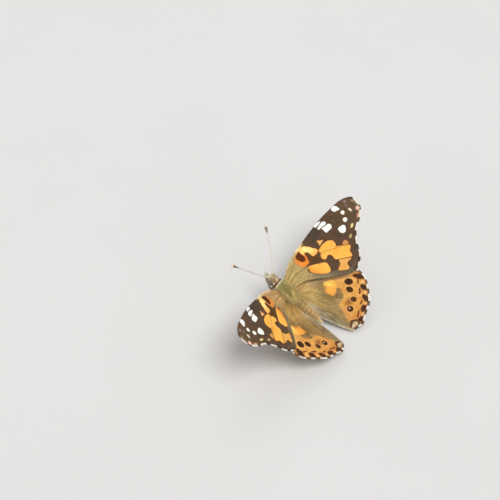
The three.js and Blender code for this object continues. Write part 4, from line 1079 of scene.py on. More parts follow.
# ------------------------------------------------------------------ colours of the body
def body_tone(P, which, dist, along, angle):
    s, v, out, w = on_body(P)
    a = np.abs(out)
    top = smooth(-0.5, 0.5, np.sin(w))
    lock = fbm(s * 1.3 + 9, w * 5.0 + np.sign(out) * 3, 201)
    fine = fbm(s * 4.0 + 9, w * 16.0 + np.sign(out) * 3, 202)
    c = np.empty((len(P), 3))
    c[:] = rgb(156, 136, 84)
    # thorax: olive-green and gold above, with a small painted highlight on top, tan along its sides, grey-buff below
    c = over(c, rgb(128, 116, 66), smooth(0.0, 0.5, lock) * 0.8)
    c = over(c, rgb(178, 158, 98), smooth(0.1, 0.6, -lock) * 0.7)
    c = over(c, rgb(112, 104, 58), oval(out, s, (0.0, 1.5), (0.95, 1.3), 0, 0.5) * 0.6)
    c = over(c, rgb(104, 92, 52), oval(a, s, (0.75, -0.2), (0.22, 0.5), 0, 0.2) * 0.7)
    # painted highlight: a small bright gold spot on top of the thorax, where the sun falls
    c = over(c, rgb(204, 186, 104), oval(out, s, (0.0, -0.1), (0.2, 0.3), 0, 0.35) * 0.8)
    side_line = np.interp(s, [-3.0, -1.0, 1.0, 2.6, 3.4], [0.72, 0.74, 0.7, 0.6, 0.5])
    # painted shade: the pale line along the sides is painted fainter on the left side (out > 0)
    c = over(c, rgb(224, 212, 178), np.exp(-((w - side_line) / 0.15) ** 2) * smooth(-3.2, -2.2, s) * smooth(3.5, 3.2, s) * (0.75 + 0.3 * fine) * np.where(out > 0, 0.6, 1.0))
    c = over(c, rgb(176, 160, 132), smooth(0.1, -0.35, w) * 0.9)
    c = over(c, rgb(160, 136, 96), smooth(-1.2, -2.8, s) * top * 0.6)
    # abdomen: brown above with pale rings and dark spots, buff below, peach tip
    t = (THORAX_REAR - s) / ABDOMEN_LENGTH
    ab = smooth(-0.02, 0.03, t)
    ring = (t * 8.0) % 1.0
    skin = np.broadcast_to(rgb(150, 124, 80), c.shape)
    skin = over(skin, rgb(124, 100, 62), smooth(0.1, 0.6, fbm(s * 2.0, w * 3 + np.sign(out), 203)) * 0.4)
    skin = over(skin, rgb(112, 90, 58), smooth(0.78, 0.98, ring) * 0.32 + smooth(0.14, 0.0, ring) * 0.28)
    skin = over(skin, rgb(198, 166, 114), smooth(0.38, 0.58, ring) * smooth(0.8, 0.64, ring) * (0.3 + 0.25 * fine))
    skin = over(skin, rgb(92, 76, 56), np.exp(-((w - 0.75) / 0.2) ** 2 - ((ring - 0.3) / 0.18) ** 2) * 0.45)
    skin = over(skin, rgb(206, 170, 128), smooth(0.72, 0.95, t) * 0.85)
    skin = over(skin, rgb(196, 176, 138), smooth(0.25, -0.25, w) * 0.85)
    c = over(c, skin, ab)
    c = c * (1 - 0.08 * smooth(-1.8, -3.0, s) * smooth(-6.4, -4.8, s) - 0.06 * ab)[..., None]
    # collar: red-brown, with a cream line behind it
    c = over(c, rgb(110, 106, 66), smooth(1.8, 2.4, s) * top * 0.5)
    c = over(c, rgb(226, 208, 172), smooth(3.44, 3.56, s) * smooth(3.98, 3.88, s) * smooth(-0.7, -0.3, w) * 0.95)
    # head: brown with beige streaks, a grey face and a white tuft behind each eye
    head = smooth(3.88, 3.98, s)
    face = np.broadcast_to(rgb(134, 112, 82), c.shape)
    face = over(face, rgb(190, 168, 134), smooth(0.1, 0.45, np.cos(a * 5.6 + s * 1.1)) * 0.8)
    face = over(face, rgb(84, 66, 46), smooth(0.2, 0.6, fine) * 0.6)
    face = over(face, rgb(176, 164, 142), smooth(5.4, 6.0, s) * 0.8)
    face = over(face, rgb(98, 64, 38), smooth(3.86, 3.96, s) * smooth(4.62, 4.46, s) * smooth(-0.5, 0.0, w) * 0.92)
    face = over(face, rgb(200, 190, 170), smooth(0.2, -0.3, w) * 0.7)
    face = over(face, rgb(244, 240, 224), smooth(0.85, 1.05, a) * smooth(2.1, 1.9, a) * smooth(4.96, 4.8, s) * smooth(4.4, 4.52, s) * smooth(-0.2, 0.2, w))
    c = over(c, face, head)
    # legs and palps
    limb, names = limb_mask(P, which, dist)
    leg = np.broadcast_to(rgb(186, 164, 124), c.shape)
    leg = over(leg, rgb(112, 92, 66), smooth(0.15, 0.55, fbm(along * 14, angle * 1.2 + which, 205)) * 0.75)
    full = np.array([n for n, _, _ in LIMBS] + ["none"])[which]
    femur, tarsus = np.char.find(full, "femur") >= 0, np.char.find(full, "tarsus") >= 0
    leg = over(leg, rgb(122, 102, 74), femur * smooth(-0.4, 0.5, np.sin(angle)) * 0.8)
    leg = over(leg, rgb(228, 216, 190), femur * smooth(0.2, -0.6, np.sin(angle)) * 0.7)
    leg = over(leg, rgb(150, 116, 74), tarsus * 0.35)
    leg = over(leg, rgb(90, 66, 44), tarsus * smooth(0.35, 0.5, np.abs(((along * 5.6) % 1) - 0.5)) * 0.4)
    palp = np.broadcast_to(rgb(206, 190, 164), c.shape)
    palp = over(palp, rgb(138, 116, 92), smooth(-0.2, 0.7, np.sin(angle)) * smooth(0.15, 0.4, along) * smooth(0.05, 0.5, -np.cos(angle) * np.sign(P[:, 0]) + 0.2) * 0.6)
    palp = over(palp, rgb(220, 210, 190), smooth(0.2, -0.6, np.sin(angle)) * 0.6)
    # painted highlight: the palp tips are painted paler
    palp = over(palp, rgb(226, 222, 210), smooth(0.82, 1.0, along) * 0.5)
    leg = over(leg, palp, (names == "palp").astype(float))
    c = over(c, leg, limb)
    return np.clip(c, 0, 1), limb, names


def skin_material():
    """Dark skin under a dust of fine scales: granular, with the same markings as the coat."""
    m, t, shader = new_material("scaled_skin")
    tint = node(t, "ShaderNodeAttribute", attribute_name="tint")
    place = node(t, "ShaderNodeTexCoord")
    scales = node(t, "ShaderNodeTexVoronoi", feature="F1")
    scales.inputs["Scale"].default_value = 9000.0
    t.links.new(place.outputs["Object"], scales.inputs["Vector"])
    level = node(t, "ShaderNodeMapRange")
    level.inputs["To Min"].default_value = 0.78
    level.inputs["To Max"].default_value = 1.12
    t.links.new(scales.outputs["Color"], level.inputs["Value"])
    grey = node(t, "ShaderNodeCombineColor")
    for k in range(3):
        t.links.new(level.outputs["Result"], grey.inputs[k])
    t.links.new(mix_rgb(t, tint.outputs["Color"], grey.outputs[0], 1.0), shader.inputs["Base Color"])
    bump = node(t, "ShaderNodeBump")
    bump.inputs["Strength"].default_value = 0.5
    bump.inputs["Distance"].default_value = 0.00003
    t.links.new(scales.outputs["Distance"], bump.inputs["Height"])
    t.links.new(bump.outputs["Normal"], shader.inputs["Normal"])
    shader.inputs["Roughness"].default_value = 0.62
    shader.inputs["Specular IOR Level"].default_value = 0.3
    shader.inputs["Sheen Weight"].default_value = 0.1
    return m


SKIN = skin_material()
sV, sN, sT = body_skin()
sWhich, sDist, sAlong, sAngle = nearest_limb(sV)
sTone, sLimb, sNames = body_tone(sV, sWhich, sDist, sAlong, sAngle)
sS, sUp, sOut, sW = on_body(sV)
under_coat = sTone * (0.95 - 0.05 * sLimb)[:, None]
skin = build("body_skin", sV, sT, SKIN, under_coat)
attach(skin, "root")
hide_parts("thorax", "abdomen", "head", "palp_left", "palp_right", "foreleg_left", "foreleg_right",
            *[f"{leg}_{part}_{side}" for leg in ("midleg", "hindleg") for part in ("femur", "tibia", "tarsus") for side in ("left", "right")])


# ------------------------------------------------------------------ hair
rng = np.random.default_rng(11)


def unit(v):
    return v / np.maximum(1e-9, np.linalg.norm(v, axis=-1))[..., None]


def strands(name, root, lie, normal, length, width, rise, colour, home, material=HAIR, tip=1.15, slot="body_coat", bend=0.75, sections=2):
    """Thin tapering blades: each leaves its root at the given rise and bends over towards the lie of the coat."""
    n = len(root)
    lie = unit(lie - normal * np.einsum("ij,ij->i", lie, normal)[:, None])
    across = unit(np.cross(lie, normal))
    share = np.linspace(0, 1, sections + 1)[:-1]
    V, C = [], []
    for t in share:
        a = rise * (1 - bend * t)
        # place along an arc whose slope falls from rise to rise*(1-bend)
        climb = length * (rise * t - rise * bend * t * t / 2)
        centre = root + lie * (length * t * np.cos(rise * 0.8))[:, None] + normal * (climb - 0.02)[:, None]
        w = width * (1.0 - 0.55 * t ** 1.5)
        V += [centre - across * w[:, None] * 0.5, centre + across * w[:, None] * 0.5, centre + normal * (w * 0.24)[:, None]]
        C += [colour * (0.9 + 0.12 * t)] * 3
    climb = length * (rise - rise * bend / 2)
    V.append(root + lie * (length * np.cos(rise * 0.8))[:, None] + normal * (climb - 0.02)[:, None])
    C.append(np.clip(colour * tip, 0, 1))
    per = 3 * sections + 1
    V = np.stack(V, 1).reshape(-1, 3)
    V[:, 2] = np.maximum(V[:, 2], 0.0)
    C = np.stack(C, 1).reshape(-1, 3)
    one = [[0, 2, 1]]
    for k in range(sections - 1):
        for a, b in ((0, 1), (1, 2), (2, 0)):
            i, j = 3 * k + a, 3 * k + b
            one += [[i, j, j + 3], [i, j + 3, i + 3]]
    last = 3 * (sections - 1)
    for a, b in ((0, 1), (1, 2), (2, 0)):
        one.append([last + a, last + b, last + 3])
    one = np.array(one)
    F = (one[None] + (np.arange(n) * per)[:, None, None]).reshape(-1, 3)
    spot = np.stack([np.tile([-1, 1, 0], sections), np.repeat(np.linspace(-1, 0.6, sections), 3)], -1)
    spot = np.concatenate([spot, [[0, 1]]]) * 0.0015
    uv = (np.clip(home, 0.004, 0.996)[:, None, :] + spot[None]).reshape(-1, 2)
    ob = build(name, V, F, material, C, None, uv, flat=True)
    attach(ob, "root")
    return ob


def scatter(V, T, weight, count):
    """Random places on the skin, as many per area as the weight at each point asks."""
    a, b, c = V[T[:, 0]], V[T[:, 1]], V[T[:, 2]]
    area = np.linalg.norm(np.cross(b - a, c - a), axis=1) * weight[T].mean(1)
    pick = rng.choice(len(T), count, p=area / area.sum())
    u, v = rng.random(count), rng.random(count)
    flip = u + v > 1
    u[flip], v[flip] = 1 - u[flip], 1 - v[flip]
    k = np.stack([1 - u - v, u, v], 1)
    return pick, k


def blend_at(values, pick, k):
    return np.einsum("ij,ij...->i...", k, values[sT[pick]])


def coat(name, weight, count, length, width, rise, lie_of, home_of, gain=1.0, tip=1.12, sections=2, vary=0.12, jitter=0.22, bend=0.75, paint=None):
    pick, k = scatter(sV, sT, weight, count)
    root, normal = blend_at(sV, pick, k), unit(blend_at(sN, pick, k))
    which, dist, along, angle = nearest_limb(root)
    tone, limb, names = body_tone(root, which, dist, along, angle)
    s, v, out, w = on_body(root)
    clump = np.stack([noise(s * 2.6, w * 6 + np.sign(out) * 2, 300 + i) for i in range(3)], -1)
    lie = lie_of(root, s, v, out, w, which, along) + clump * jitter * 1.4 + rng.normal(0, jitter * 0.5, (count, 3))
    L = length(s, v, out, w, along) * rng.uniform(0.75, 1.25, count)
    W = width * rng.uniform(0.75, 1.25, count)
    up = rise(s, v, out, w, along) * rng.uniform(0.7, 1.35, count)
    tone = tone * gain * (1 + rng.normal(0, vary, count))[:, None]
    if paint is not None:
        tone = paint(tone, s, out, w)
    home = home_of(root, s, v, out, w, which, along, angle)
    return strands(name, root, lie, normal, L, W, up, np.clip(tone, 0, 1), home, tip=tip, sections=sections, bend=bend)


AXIS_T = np.array([0.0, math.cos(rad(BODY_PITCH)), -math.sin(rad(BODY_PITCH))])          # towards the tail along the thorax
AXIS_A = np.array([0.0, math.cos(rad(ABDOMEN_PITCH)), -math.sin(rad(ABDOMEN_PITCH))])


def round_home(root, s, v, out, w, which, along, angle, s0, s1):
    turn = (np.arctan2(v, out) / (2 * math.pi)) % 1.0
    return np.stack([0.005 + 0.99 * turn, 0.005 + 0.99 * np.clip((s - s0) / (s1 - s0), 0, 1)], -1)


def limb_home(root, s, v, out, w, which, along, angle):
    n = len(LIMBS)
    return np.stack([0.005 + 0.99 * np.clip(along, 0, 1), (which + 0.05 + 0.9 * ((angle / (2 * math.pi)) % 1.0)) / n], -1)


half_count = 1.0
trunk = 1 - np.clip(sLimb * 1.4, 0, 1)
trunk = trunk * smooth(1.1, 0.9, np.hypot(sOut, sUp) / np.interp(sS, THORAX[:, 0], THORAX[:, 1] + 0.5))
on_thorax = trunk * smooth(-3.6, -3.0, sS) * smooth(3.5, 3.25, sS)
on_collar = trunk * smooth(3.34, 3.46, sS) * smooth(4.62, 4.48, sS)
on_head = trunk * smooth(4.42, 4.54, sS)
on_abdomen = trunk * smooth(-3.2, -3.5, sS)
on_limb = sLimb


def thorax_lie(root, s, v, out, w, which, along):
    spread = np.stack([np.sign(out) * np.abs(out) * 0.55, 0 * out, -0.1 - 0 * out], -1)
    return AXIS_T + spread * smooth(0.2, 1.2, np.abs(out))[:, None]


coat("coat_thorax", on_thorax, int(15000 * half_count), lambda s, v, out, w, a: np.interp(w, [-1.5, -0.3, 0.4, 1.5], [0.6, 0.8, 1.25, 1.15]) * np.interp(s, [-3.3, -1.5, 1.5, 2.6], [1.3, 1.15, 0.9, 0.6]),
     0.055, lambda s, v, out, w, a: 0.3 + 0 * s, thorax_lie, lambda *x: round_home(*x, -3.8, 3.9), gain=1.22, vary=0.13)
coat("coat_collar", on_collar, int(4600 * half_count), lambda s, v, out, w, a: 0.46 + 0.62 * smooth(1.1, 0.5, w) * smooth(4.5, 4.1, s), 0.05,
     lambda s, v, out, w, a: 0.66 + 0.3 * smooth(1.1, 0.5, w), lambda root, s, v, out, w, which, along: AXIS_T * 0.9 + np.stack([np.sign(out) * 0.8 * smooth(0.4, 1.2, np.abs(out)), 0 * out, 0 * out], -1), lambda *x: round_home(*x, 2.1, 5.0), gain=1.12, vary=0.08, jitter=0.12)


# axillary tufts, pale; painted shade: the left tufts (out > 0) are painted darker and more yellow
coat("coat_axils", trunk * smooth(-2.6, -1.8, sS) * smooth(2.4, 1.8, sS) * smooth(0.0, 0.15, sW) * smooth(0.75, 0.55, sW), int(2600 * half_count), lambda s, v, out, w, a: 1.25 + 0 * s, 0.055,
     lambda s, v, out, w, a: 0.75 + 0 * s, lambda root, s, v, out, w, which, along: AXIS_T * 0.9 + np.stack([np.sign(out) * 0.9, 0 * out, 0.25 + 0 * out], -1), lambda *x: round_home(*x, -3.8, 3.9), gain=1.12, vary=0.12,
     paint=lambda tone, s, out, w: over(over(tone, rgb(206, 190, 146), 0.6 + 0 * s), rgb(170, 148, 92), np.where(out > 0, 0.6, 0.0)))


def head_lie(root, s, v, out, w, which, along):
    front = smooth(5.0, 5.8, s)
    back = np.broadcast_to(AXIS_T, root.shape)
    ahead = np.stack([np.sign(out) * 0.15, -0.9 + 0 * out, 0.35 + 0 * out], -1)
    return back * (1 - front)[:, None] + ahead * front[:, None]


coat("coat_head", on_head * (1 + 1.6 * smooth(5.0, 5.6, sS) * smooth(-1.1, -0.5, sW)), int(8200 * half_count), lambda s, v, out, w, a: np.interp(w, [-1.5, 0.3, 1.0, 1.5], [0.35, 0.4, 0.55, 0.6]) + 0.5 * smooth(5.1, 5.7, s) * smooth(-1.1, -0.6, w), 0.042,
     lambda s, v, out, w, a: 0.62 + 0 * s, head_lie, lambda *x: round_home(*x, 3.6, 7.2), gain=1.4, vary=0.14, jitter=0.3)
coat("coat_abdomen", on_abdomen, int(11000 * half_count), lambda s, v, out, w, a: np.interp(s, [-12.6, -10, -4.5, -3.3], [0.5, 0.42, 0.5, 0.95]), 0.05,
     lambda s, v, out, w, a: 0.2 + 0 * s, lambda root, s, v, out, w, which, along: AXIS_A + 0 * root, lambda *x: round_home(*x, -12.8, -3.0), gain=1.35, vary=0.1, jitter=0.12)


def limb_lie(root, s, v, out, w, which, along):
    d = np.zeros((len(root), 3))
    for i, (name, side, line) in enumerate(LIMBS):
        m = which == i
        if m.any():
            L = resample(curve(line, False, 6), 14)
            k = np.clip((along[m] * 13).astype(int), 0, 12)
            d[m] = unit(L[k + 1] - L[k])
    return d


full_names = np.array([n for n, _, _ in LIMBS] + ["none"])[sWhich]
is_palp = (sNames == "palp").astype(float)
coat("coat_palps", on_limb * is_palp, int(4600 * half_count), lambda s, v, out, w, a: np.interp(a, [0, 0.35, 0.6, 0.85, 1.0], [0.32, 0.36, 0.5, 0.55, 0.4]), 0.045,
     lambda s, v, out, w, a: np.interp(a, [0, 0.6, 1.0], [0.42, 0.5, 0.28]), limb_lie, limb_home, gain=1.32, vary=0.12, jitter=0.2)
thin = np.where(np.char.find(full_names, "femur") >= 0, 1.0, np.where(np.char.find(full_names, "tarsus") >= 0, 0.55, 0.75))
is_foreleg = (sNames == "foreleg").astype(float)
coat("coat_foreleg_brush", on_limb * is_foreleg, int(2200 * half_count), lambda s, v, out, w, a: 0.34 + 0.3 * a, 0.036, lambda s, v, out, w, a: 0.5 + 0 * s, limb_lie, limb_home, gain=1.1, vary=0.12, jitter=0.25)
coat("coat_legs", on_limb * (1 - is_palp) * (1 - is_foreleg) * thin * smooth(0.0, 0.12, sV[:, 2] - 0.1), int(7000 * half_count),
     lambda s, v, out, w, a: 0.22 + 0 * s, 0.04, lambda s, v, out, w, a: 0.3 + 0 * s, limb_lie, limb_home, vary=0.12, jitter=0.18)


# ------------------------------------------------------------------ hair and fringes of the wings
def wing_frame(wing, side, p, q, h):
    e = 0.02
    o = wing_place(wing, side, p, q, h)
    a = unit(wing_place(wing, side, p + e, q, h) - o)
    b = unit(wing_place(wing, side, p, q + e, h) - o)
    n = unit(np.cross(a, b)) * side
    n = n * np.sign(n[..., 2:3])
    return o, a, b, n


def wing_hair(name, wing, side, p, q, dp, dq, length, width, rise, colour, outline_box, h=0.19, below=False, **kw):
    o, a, b, n = wing_frame(wing, side, p, q, h)
    if below:
        n = -n
    lie = a * dp[:, None] + b * dq[:, None]
    (p0, p1), (q0, q1) = outline_box
    home = np.stack([(p - p0) / (p1 - p0), (q - q0) / (q1 - q0)], -1)
    return strands(name, o, lie, n, length, width, rise, colour, home, slot="wing_scales", **kw)


def scatter_plane(box, keep, count, seed):
    g = np.random.default_rng(seed)
    (p0, p1), (q0, q1) = box
    P, Q = [], []
    have = 0
    while have < count:
        p, q = g.uniform(p0, p1, 20000), g.uniform(q0, q1, 20000)
        m = g.random(20000) < keep(p, q)
        P.append(p[m])
        Q.append(q[m])
        have += int(m.sum())
    return np.concatenate(P)[:count], np.concatenate(Q)[:count], g


FORE_LOOP = np.concatenate([curve(FORE_COSTA, False, 6)[:-1], curve(FORE_TERMEN, False, 6)[:-1], curve(FORE_INNER, False, 6)[::-1][:-1], curve(FORE_ROOT, False, 4)[::-1][:-1]])
HIND_LOOP = np.concatenate([curve(HIND_COSTA, False, 6)[:-1], curve(HIND_TERMEN, False, 6)[:-1], curve(HIND_INNER, False, 6)[::-1][:-1], curve(HIND_ROOT, False, 4)[::-1][:-1]])
FORE_BOX, HIND_BOX = ((0.5, 33.5), (-15.5, 4.2)), ((-1.0, 17.5), (-23.0, 0.0))


def fore_hair_share(p, q):
    ok = inside(p, q, FORE_LOOP)
    edge, _ = line_distance(p, q, FORE_LOOP, True)
    return ok * smooth(0.08, 0.3, edge) * smooth(8.6, 5.5, p - 0.35 * (q + 2)) * (0.35 + 0.65 * smooth(5.5, 3.0, p))


def hind_hair_share(p, q):
    ok = inside(p, q, HIND_LOOP)
    edge, _ = line_distance(p, q, HIND_LOOP, True)
    outer = np.interp(p, [0, 2.2, 3.4, 4.4, 5.6, 7.4, 8.4, 11], [-18.6, -17.6, -15.0, -13.2, -11.0, -7.2, -6.0, -5.0])
    return ok * smooth(0.05, 0.25, edge) * smooth(-0.4, 1.6, q - outer) * (0.4 + 0.6 * smooth(9.0, 3.0, np.hypot(p - 1.4, q + 2.2)))


for side, name in ((1, "left"), (-1, "right")):
    count = int(3800 * half_count)
    p, q, g = scatter_plane(((0.9, 10.0), (-6.0, 3.6)), fore_hair_share, count, 31)
    # painted sheen: the left forewing's hair gets the same sheen tint as the wing
    tone = fore_top(p, q) * base_sheen_tint(side, p, q) * (1 + g.normal(0, 0.09, count))[:, None]
    turn = np.arctan2(q - 0.6 + 0.25 * noise(p * 0.8, q * 0.8, 77), p + 1.0)
    wing_hair(f"hair_forewing_{name}", FORE, side, p, q, np.cos(turn), np.sin(turn) - 0.08, g.uniform(0.8, 1.5, count) * np.interp(p, [1, 4, 9], [1.1, 1.0, 0.7]),
              g.uniform(0.03, 0.05, count), g.uniform(0.06, 0.16, count) + 0.2 * smooth(3.2, 1.4, p), np.clip(tone * 1.14, 0, 1), FORE_BOX)
    count = int(8600 * half_count)
    p, q, g = scatter_plane(((-0.4, 11.0), (-19.5, -0.6)), hind_hair_share, count, 32)
    # painted sheen: the left hindwing's wool hair gets the same sheen tint as the wing
    tone = hind_top(p, q) * wool_sheen_tint(side, p, q) * (1 + g.normal(0, 0.10, count))[:, None]
    turn = np.arctan2(q + 2.2, p - 1.2) + 0.16 * fbm(p * 0.6, q * 0.6, 78)
    wing_hair(f"hair_hindwing_{name}", HIND, side, p, q, np.cos(turn), np.sin(turn), g.uniform(0.9, 1.9, count), g.uniform(0.03, 0.052, count),
              g.uniform(0.05, 0.13, count) + 0.14 * smooth(5.0, 2.0, np.hypot(p - 1.2, q + 2.2)), np.clip(tone * (1.12 + 0.12 * smooth(7.0, 3.0, np.hypot(p - 1.2, q + 2.2)))[:, None], 0, 1), HIND_BOX)
    # pale hair along the inner edge of the hindwing
    line = resample(curve(HIND_INNER, False, 10), 900)
    g = np.random.default_rng(33)
    k = g.integers(60, 885, int(3400 * half_count))
    deep = g.uniform(0.02, 0.6, len(k)) ** 1.4
    p, q = line[k, 0] + deep, line[k, 1]
    fold = over(np.broadcast_to(rgb(160, 146, 114), (len(k), 3)), rgb(134, 120, 92), smooth(-8.4, -10.4, q) * smooth(-18.0, -14.0, q) * 0.8)
    edge = over(np.broadcast_to(rgb(226, 216, 190), (len(k), 3)), rgb(206, 186, 160), np.full(len(k), 0.0 if side < 0 else 0.6))
    tone = over(fold, edge, (g.random(len(k)) < 0.22) * smooth(0.35, 0.1, deep))
    tone = np.clip(tone * (1 + g.normal(0, 0.07, len(k)))[:, None], 0, 1)
    reach = np.interp(q, [-21, -19.5, -17, -9, -4], [0.4, 0.7, 1.15, 1.2, 0.7]) * (1.0 if side < 0 else 0.7)
    wing_hair(f"hair_inner_edge_{name}", HIND, side, p, q, -0.62 + 0 * p + g.normal(0, 0.14, len(k)), -0.9 + 0 * p, reach * g.uniform(0.85, 1.08, len(k)), g.uniform(0.035, 0.05, len(k)),
              g.uniform(0.02, 0.08, len(k)), tone, HIND_BOX, tip=1.42)


def fringe(name, wing, side, line, ends, box, dark, light, seed, extra_light=None):
    """Flat fringe scales in two rows, pale between the veins and dark at their ends."""
    L = resample(curve(line, False, 14), 2400)
    L2, normal, nearest, cut = margin_cut(L, ends)
    g = np.random.default_rng(seed)
    length = np.linalg.norm(np.diff(L, axis=0), axis=1).sum()
    count = int(length / 0.045 * (1.0))
    for row, (h, reach, wide) in enumerate(((0.15, 1.0, 0.085), (0.10, 0.86, 0.075))):
        t = (np.arange(count) + g.uniform(-0.3, 0.3, count)) / count
        k = np.clip((t * (len(L) - 1)).astype(int), 2, len(L) - 3)
        root = L2[k] + normal[k] * 0.16
        d = -normal[k] + g.normal(0, 0.09, (count, 2))
        size = (cut[k] + 0.16) * reach * g.uniform(0.85, 1.1, count) + 0.05
        pale = smooth(0.55, 0.85, nearest[k] + 0.2 * noise(t * 160, 0 * t, seed))
        tone = over(np.broadcast_to(dark, (count, 3)), light, pale * 0.95)
        tone = np.clip(tone * (1 + g.normal(0, 0.07, count))[:, None], 0, 1)
        o, a, b, n = wing_frame(wing, side, root[:, 0], root[:, 1], np.full(count, h))
        lie = a * d[:, :1] + b * d[:, 1:]
        (p0, p1), (q0, q1) = box
        home = np.stack([(root[:, 0] - p0) / (p1 - p0), (root[:, 1] - q0) / (q1 - q0)], -1)
        strands(f"{name}_{row + 1}", o, lie, n, size, np.full(count, wide), g.uniform(-0.02, 0.06, count), tone, home, slot="wing_scales", tip=1.04, bend=0.2, sections=2)


for side, name in ((1, "left"), (-1, "right")):
    fringe(f"fringe_forewing_{name}", FORE, side, FORE_TERMEN, FORE_ENDS, FORE_BOX, rgb(66, 50, 40), rgb(244, 238, 224), 51)
    fringe(f"fringe_hindwing_{name}", HIND, side, HIND_TERMEN, HIND_ENDS, HIND_BOX, rgb(70, 48, 36), rgb(246, 240, 226), 52)


# ------------------------------------------------------------------ eyes, feelers and tongue
def eye_material():
    """Compound eye: brown with darker blotches under a clear, finely faceted surface."""
    m, t, shader = new_material("compound_eye")
    place = node(t, "ShaderNodeTexCoord")
    facets = node(t, "ShaderNodeTexVoronoi", feature="DISTANCE_TO_EDGE")
    facets.inputs["Scale"].default_value = 20000.0
    facets.inputs["Randomness"].default_value = 0.25
    t.links.new(place.outputs["Object"], facets.inputs["Vector"])
    blotch = node(t, "ShaderNodeTexVoronoi", feature="SMOOTH_F1")
    blotch.inputs["Scale"].default_value = 2600.0
    t.links.new(place.outputs["Object"], blotch.inputs["Vector"])
    ramp = node(t, "ShaderNodeValToRGB")
    e = ramp.color_ramp.elements
    e[0].position, e[0].color = 0.12, (0.034, 0.024, 0.014, 1)
    e[1].position, e[1].color = 0.75, (0.26, 0.20, 0.12, 1)
    mid = ramp.color_ramp.elements.new(0.4)
    mid.color = (0.150, 0.108, 0.062, 1)
    t.links.new(blotch.outputs["Distance"], ramp.inputs["Fac"])
    line = node(t, "ShaderNodeMapRange")
    line.inputs["From Max"].default_value = 0.12
    line.inputs["To Min"].default_value = 0.6
    line.inputs["To Max"].default_value = 1.05
    t.links.new(facets.outputs["Distance"], line.inputs["Value"])
    grey = node(t, "ShaderNodeCombineColor")
    for k in range(3):
        t.links.new(line.outputs["Result"], grey.inputs[k])
    t.links.new(mix_rgb(t, ramp.outputs["Color"], grey.outputs[0], 1.0), shader.inputs["Base Color"])
    bump = node(t, "ShaderNodeBump")
    bump.inputs["Strength"].default_value = 0.4
    bump.inputs["Distance"].default_value = 0.00002
    t.links.new(facets.outputs["Distance"], bump.inputs["Height"])
    t.links.new(bump.outputs["Normal"], shader.inputs["Normal"])
    shader.inputs["Roughness"].default_value = 0.26
    shader.inputs["Coat Weight"].default_value = 0.35
    shader.inputs["Coat Roughness"].default_value = 0.12
    return m


EYE = eye_material()
for side, name in ((1, "left"), (-1, "right")):
    V, F = ellipsoid(at(side, 1.08, 4.62, 2.42), [0.6, 0.88, 0.98], 20, 48, 72)
    ob = build(f"compound_eye_{name}", V, F, EYE)
    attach(ob, "root")
    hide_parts(f"eye_{name}")


def shell_material(name, rough=0.42):
    m, t, shader = new_material(name)
    tint = node(t, "ShaderNodeAttribute", attribute_name="tint")
    place = node(t, "ShaderNodeTexCoord")
    grain = node(t, "ShaderNodeTexNoise")
    grain.inputs["Scale"].default_value = 9000.0
    grain.inputs["Detail"].default_value = 3.0
    t.links.new(place.outputs["Object"], grain.inputs["Vector"])
    level = node(t, "ShaderNodeMapRange")
    level.inputs["To Min"].default_value = 0.8
    level.inputs["To Max"].default_value = 1.2
    t.links.new(grain.outputs["Fac"], level.inputs["Value"])
    grey = node(t, "ShaderNodeCombineColor")
    for k in range(3):
        t.links.new(level.outputs["Result"], grey.inputs[k])
    t.links.new(mix_rgb(t, tint.outputs["Color"], grey.outputs[0], 1.0), shader.inputs["Base Color"])
    bump = node(t, "ShaderNodeBump")
    bump.inputs["Strength"].default_value = 0.3
    bump.inputs["Distance"].default_value = 0.00002
    t.links.new(grain.outputs["Fac"], bump.inputs["Height"])
    t.links.new(bump.outputs["Normal"], shader.inputs["Normal"])
    shader.inputs["Roughness"].default_value = rough
    return m


SHELL = shell_material("horn_shell")
ANT_BASE, ANT_TIP = np.array([0.53, 4.7, 3.76]), np.array([8.77, 12.4, 12.3])


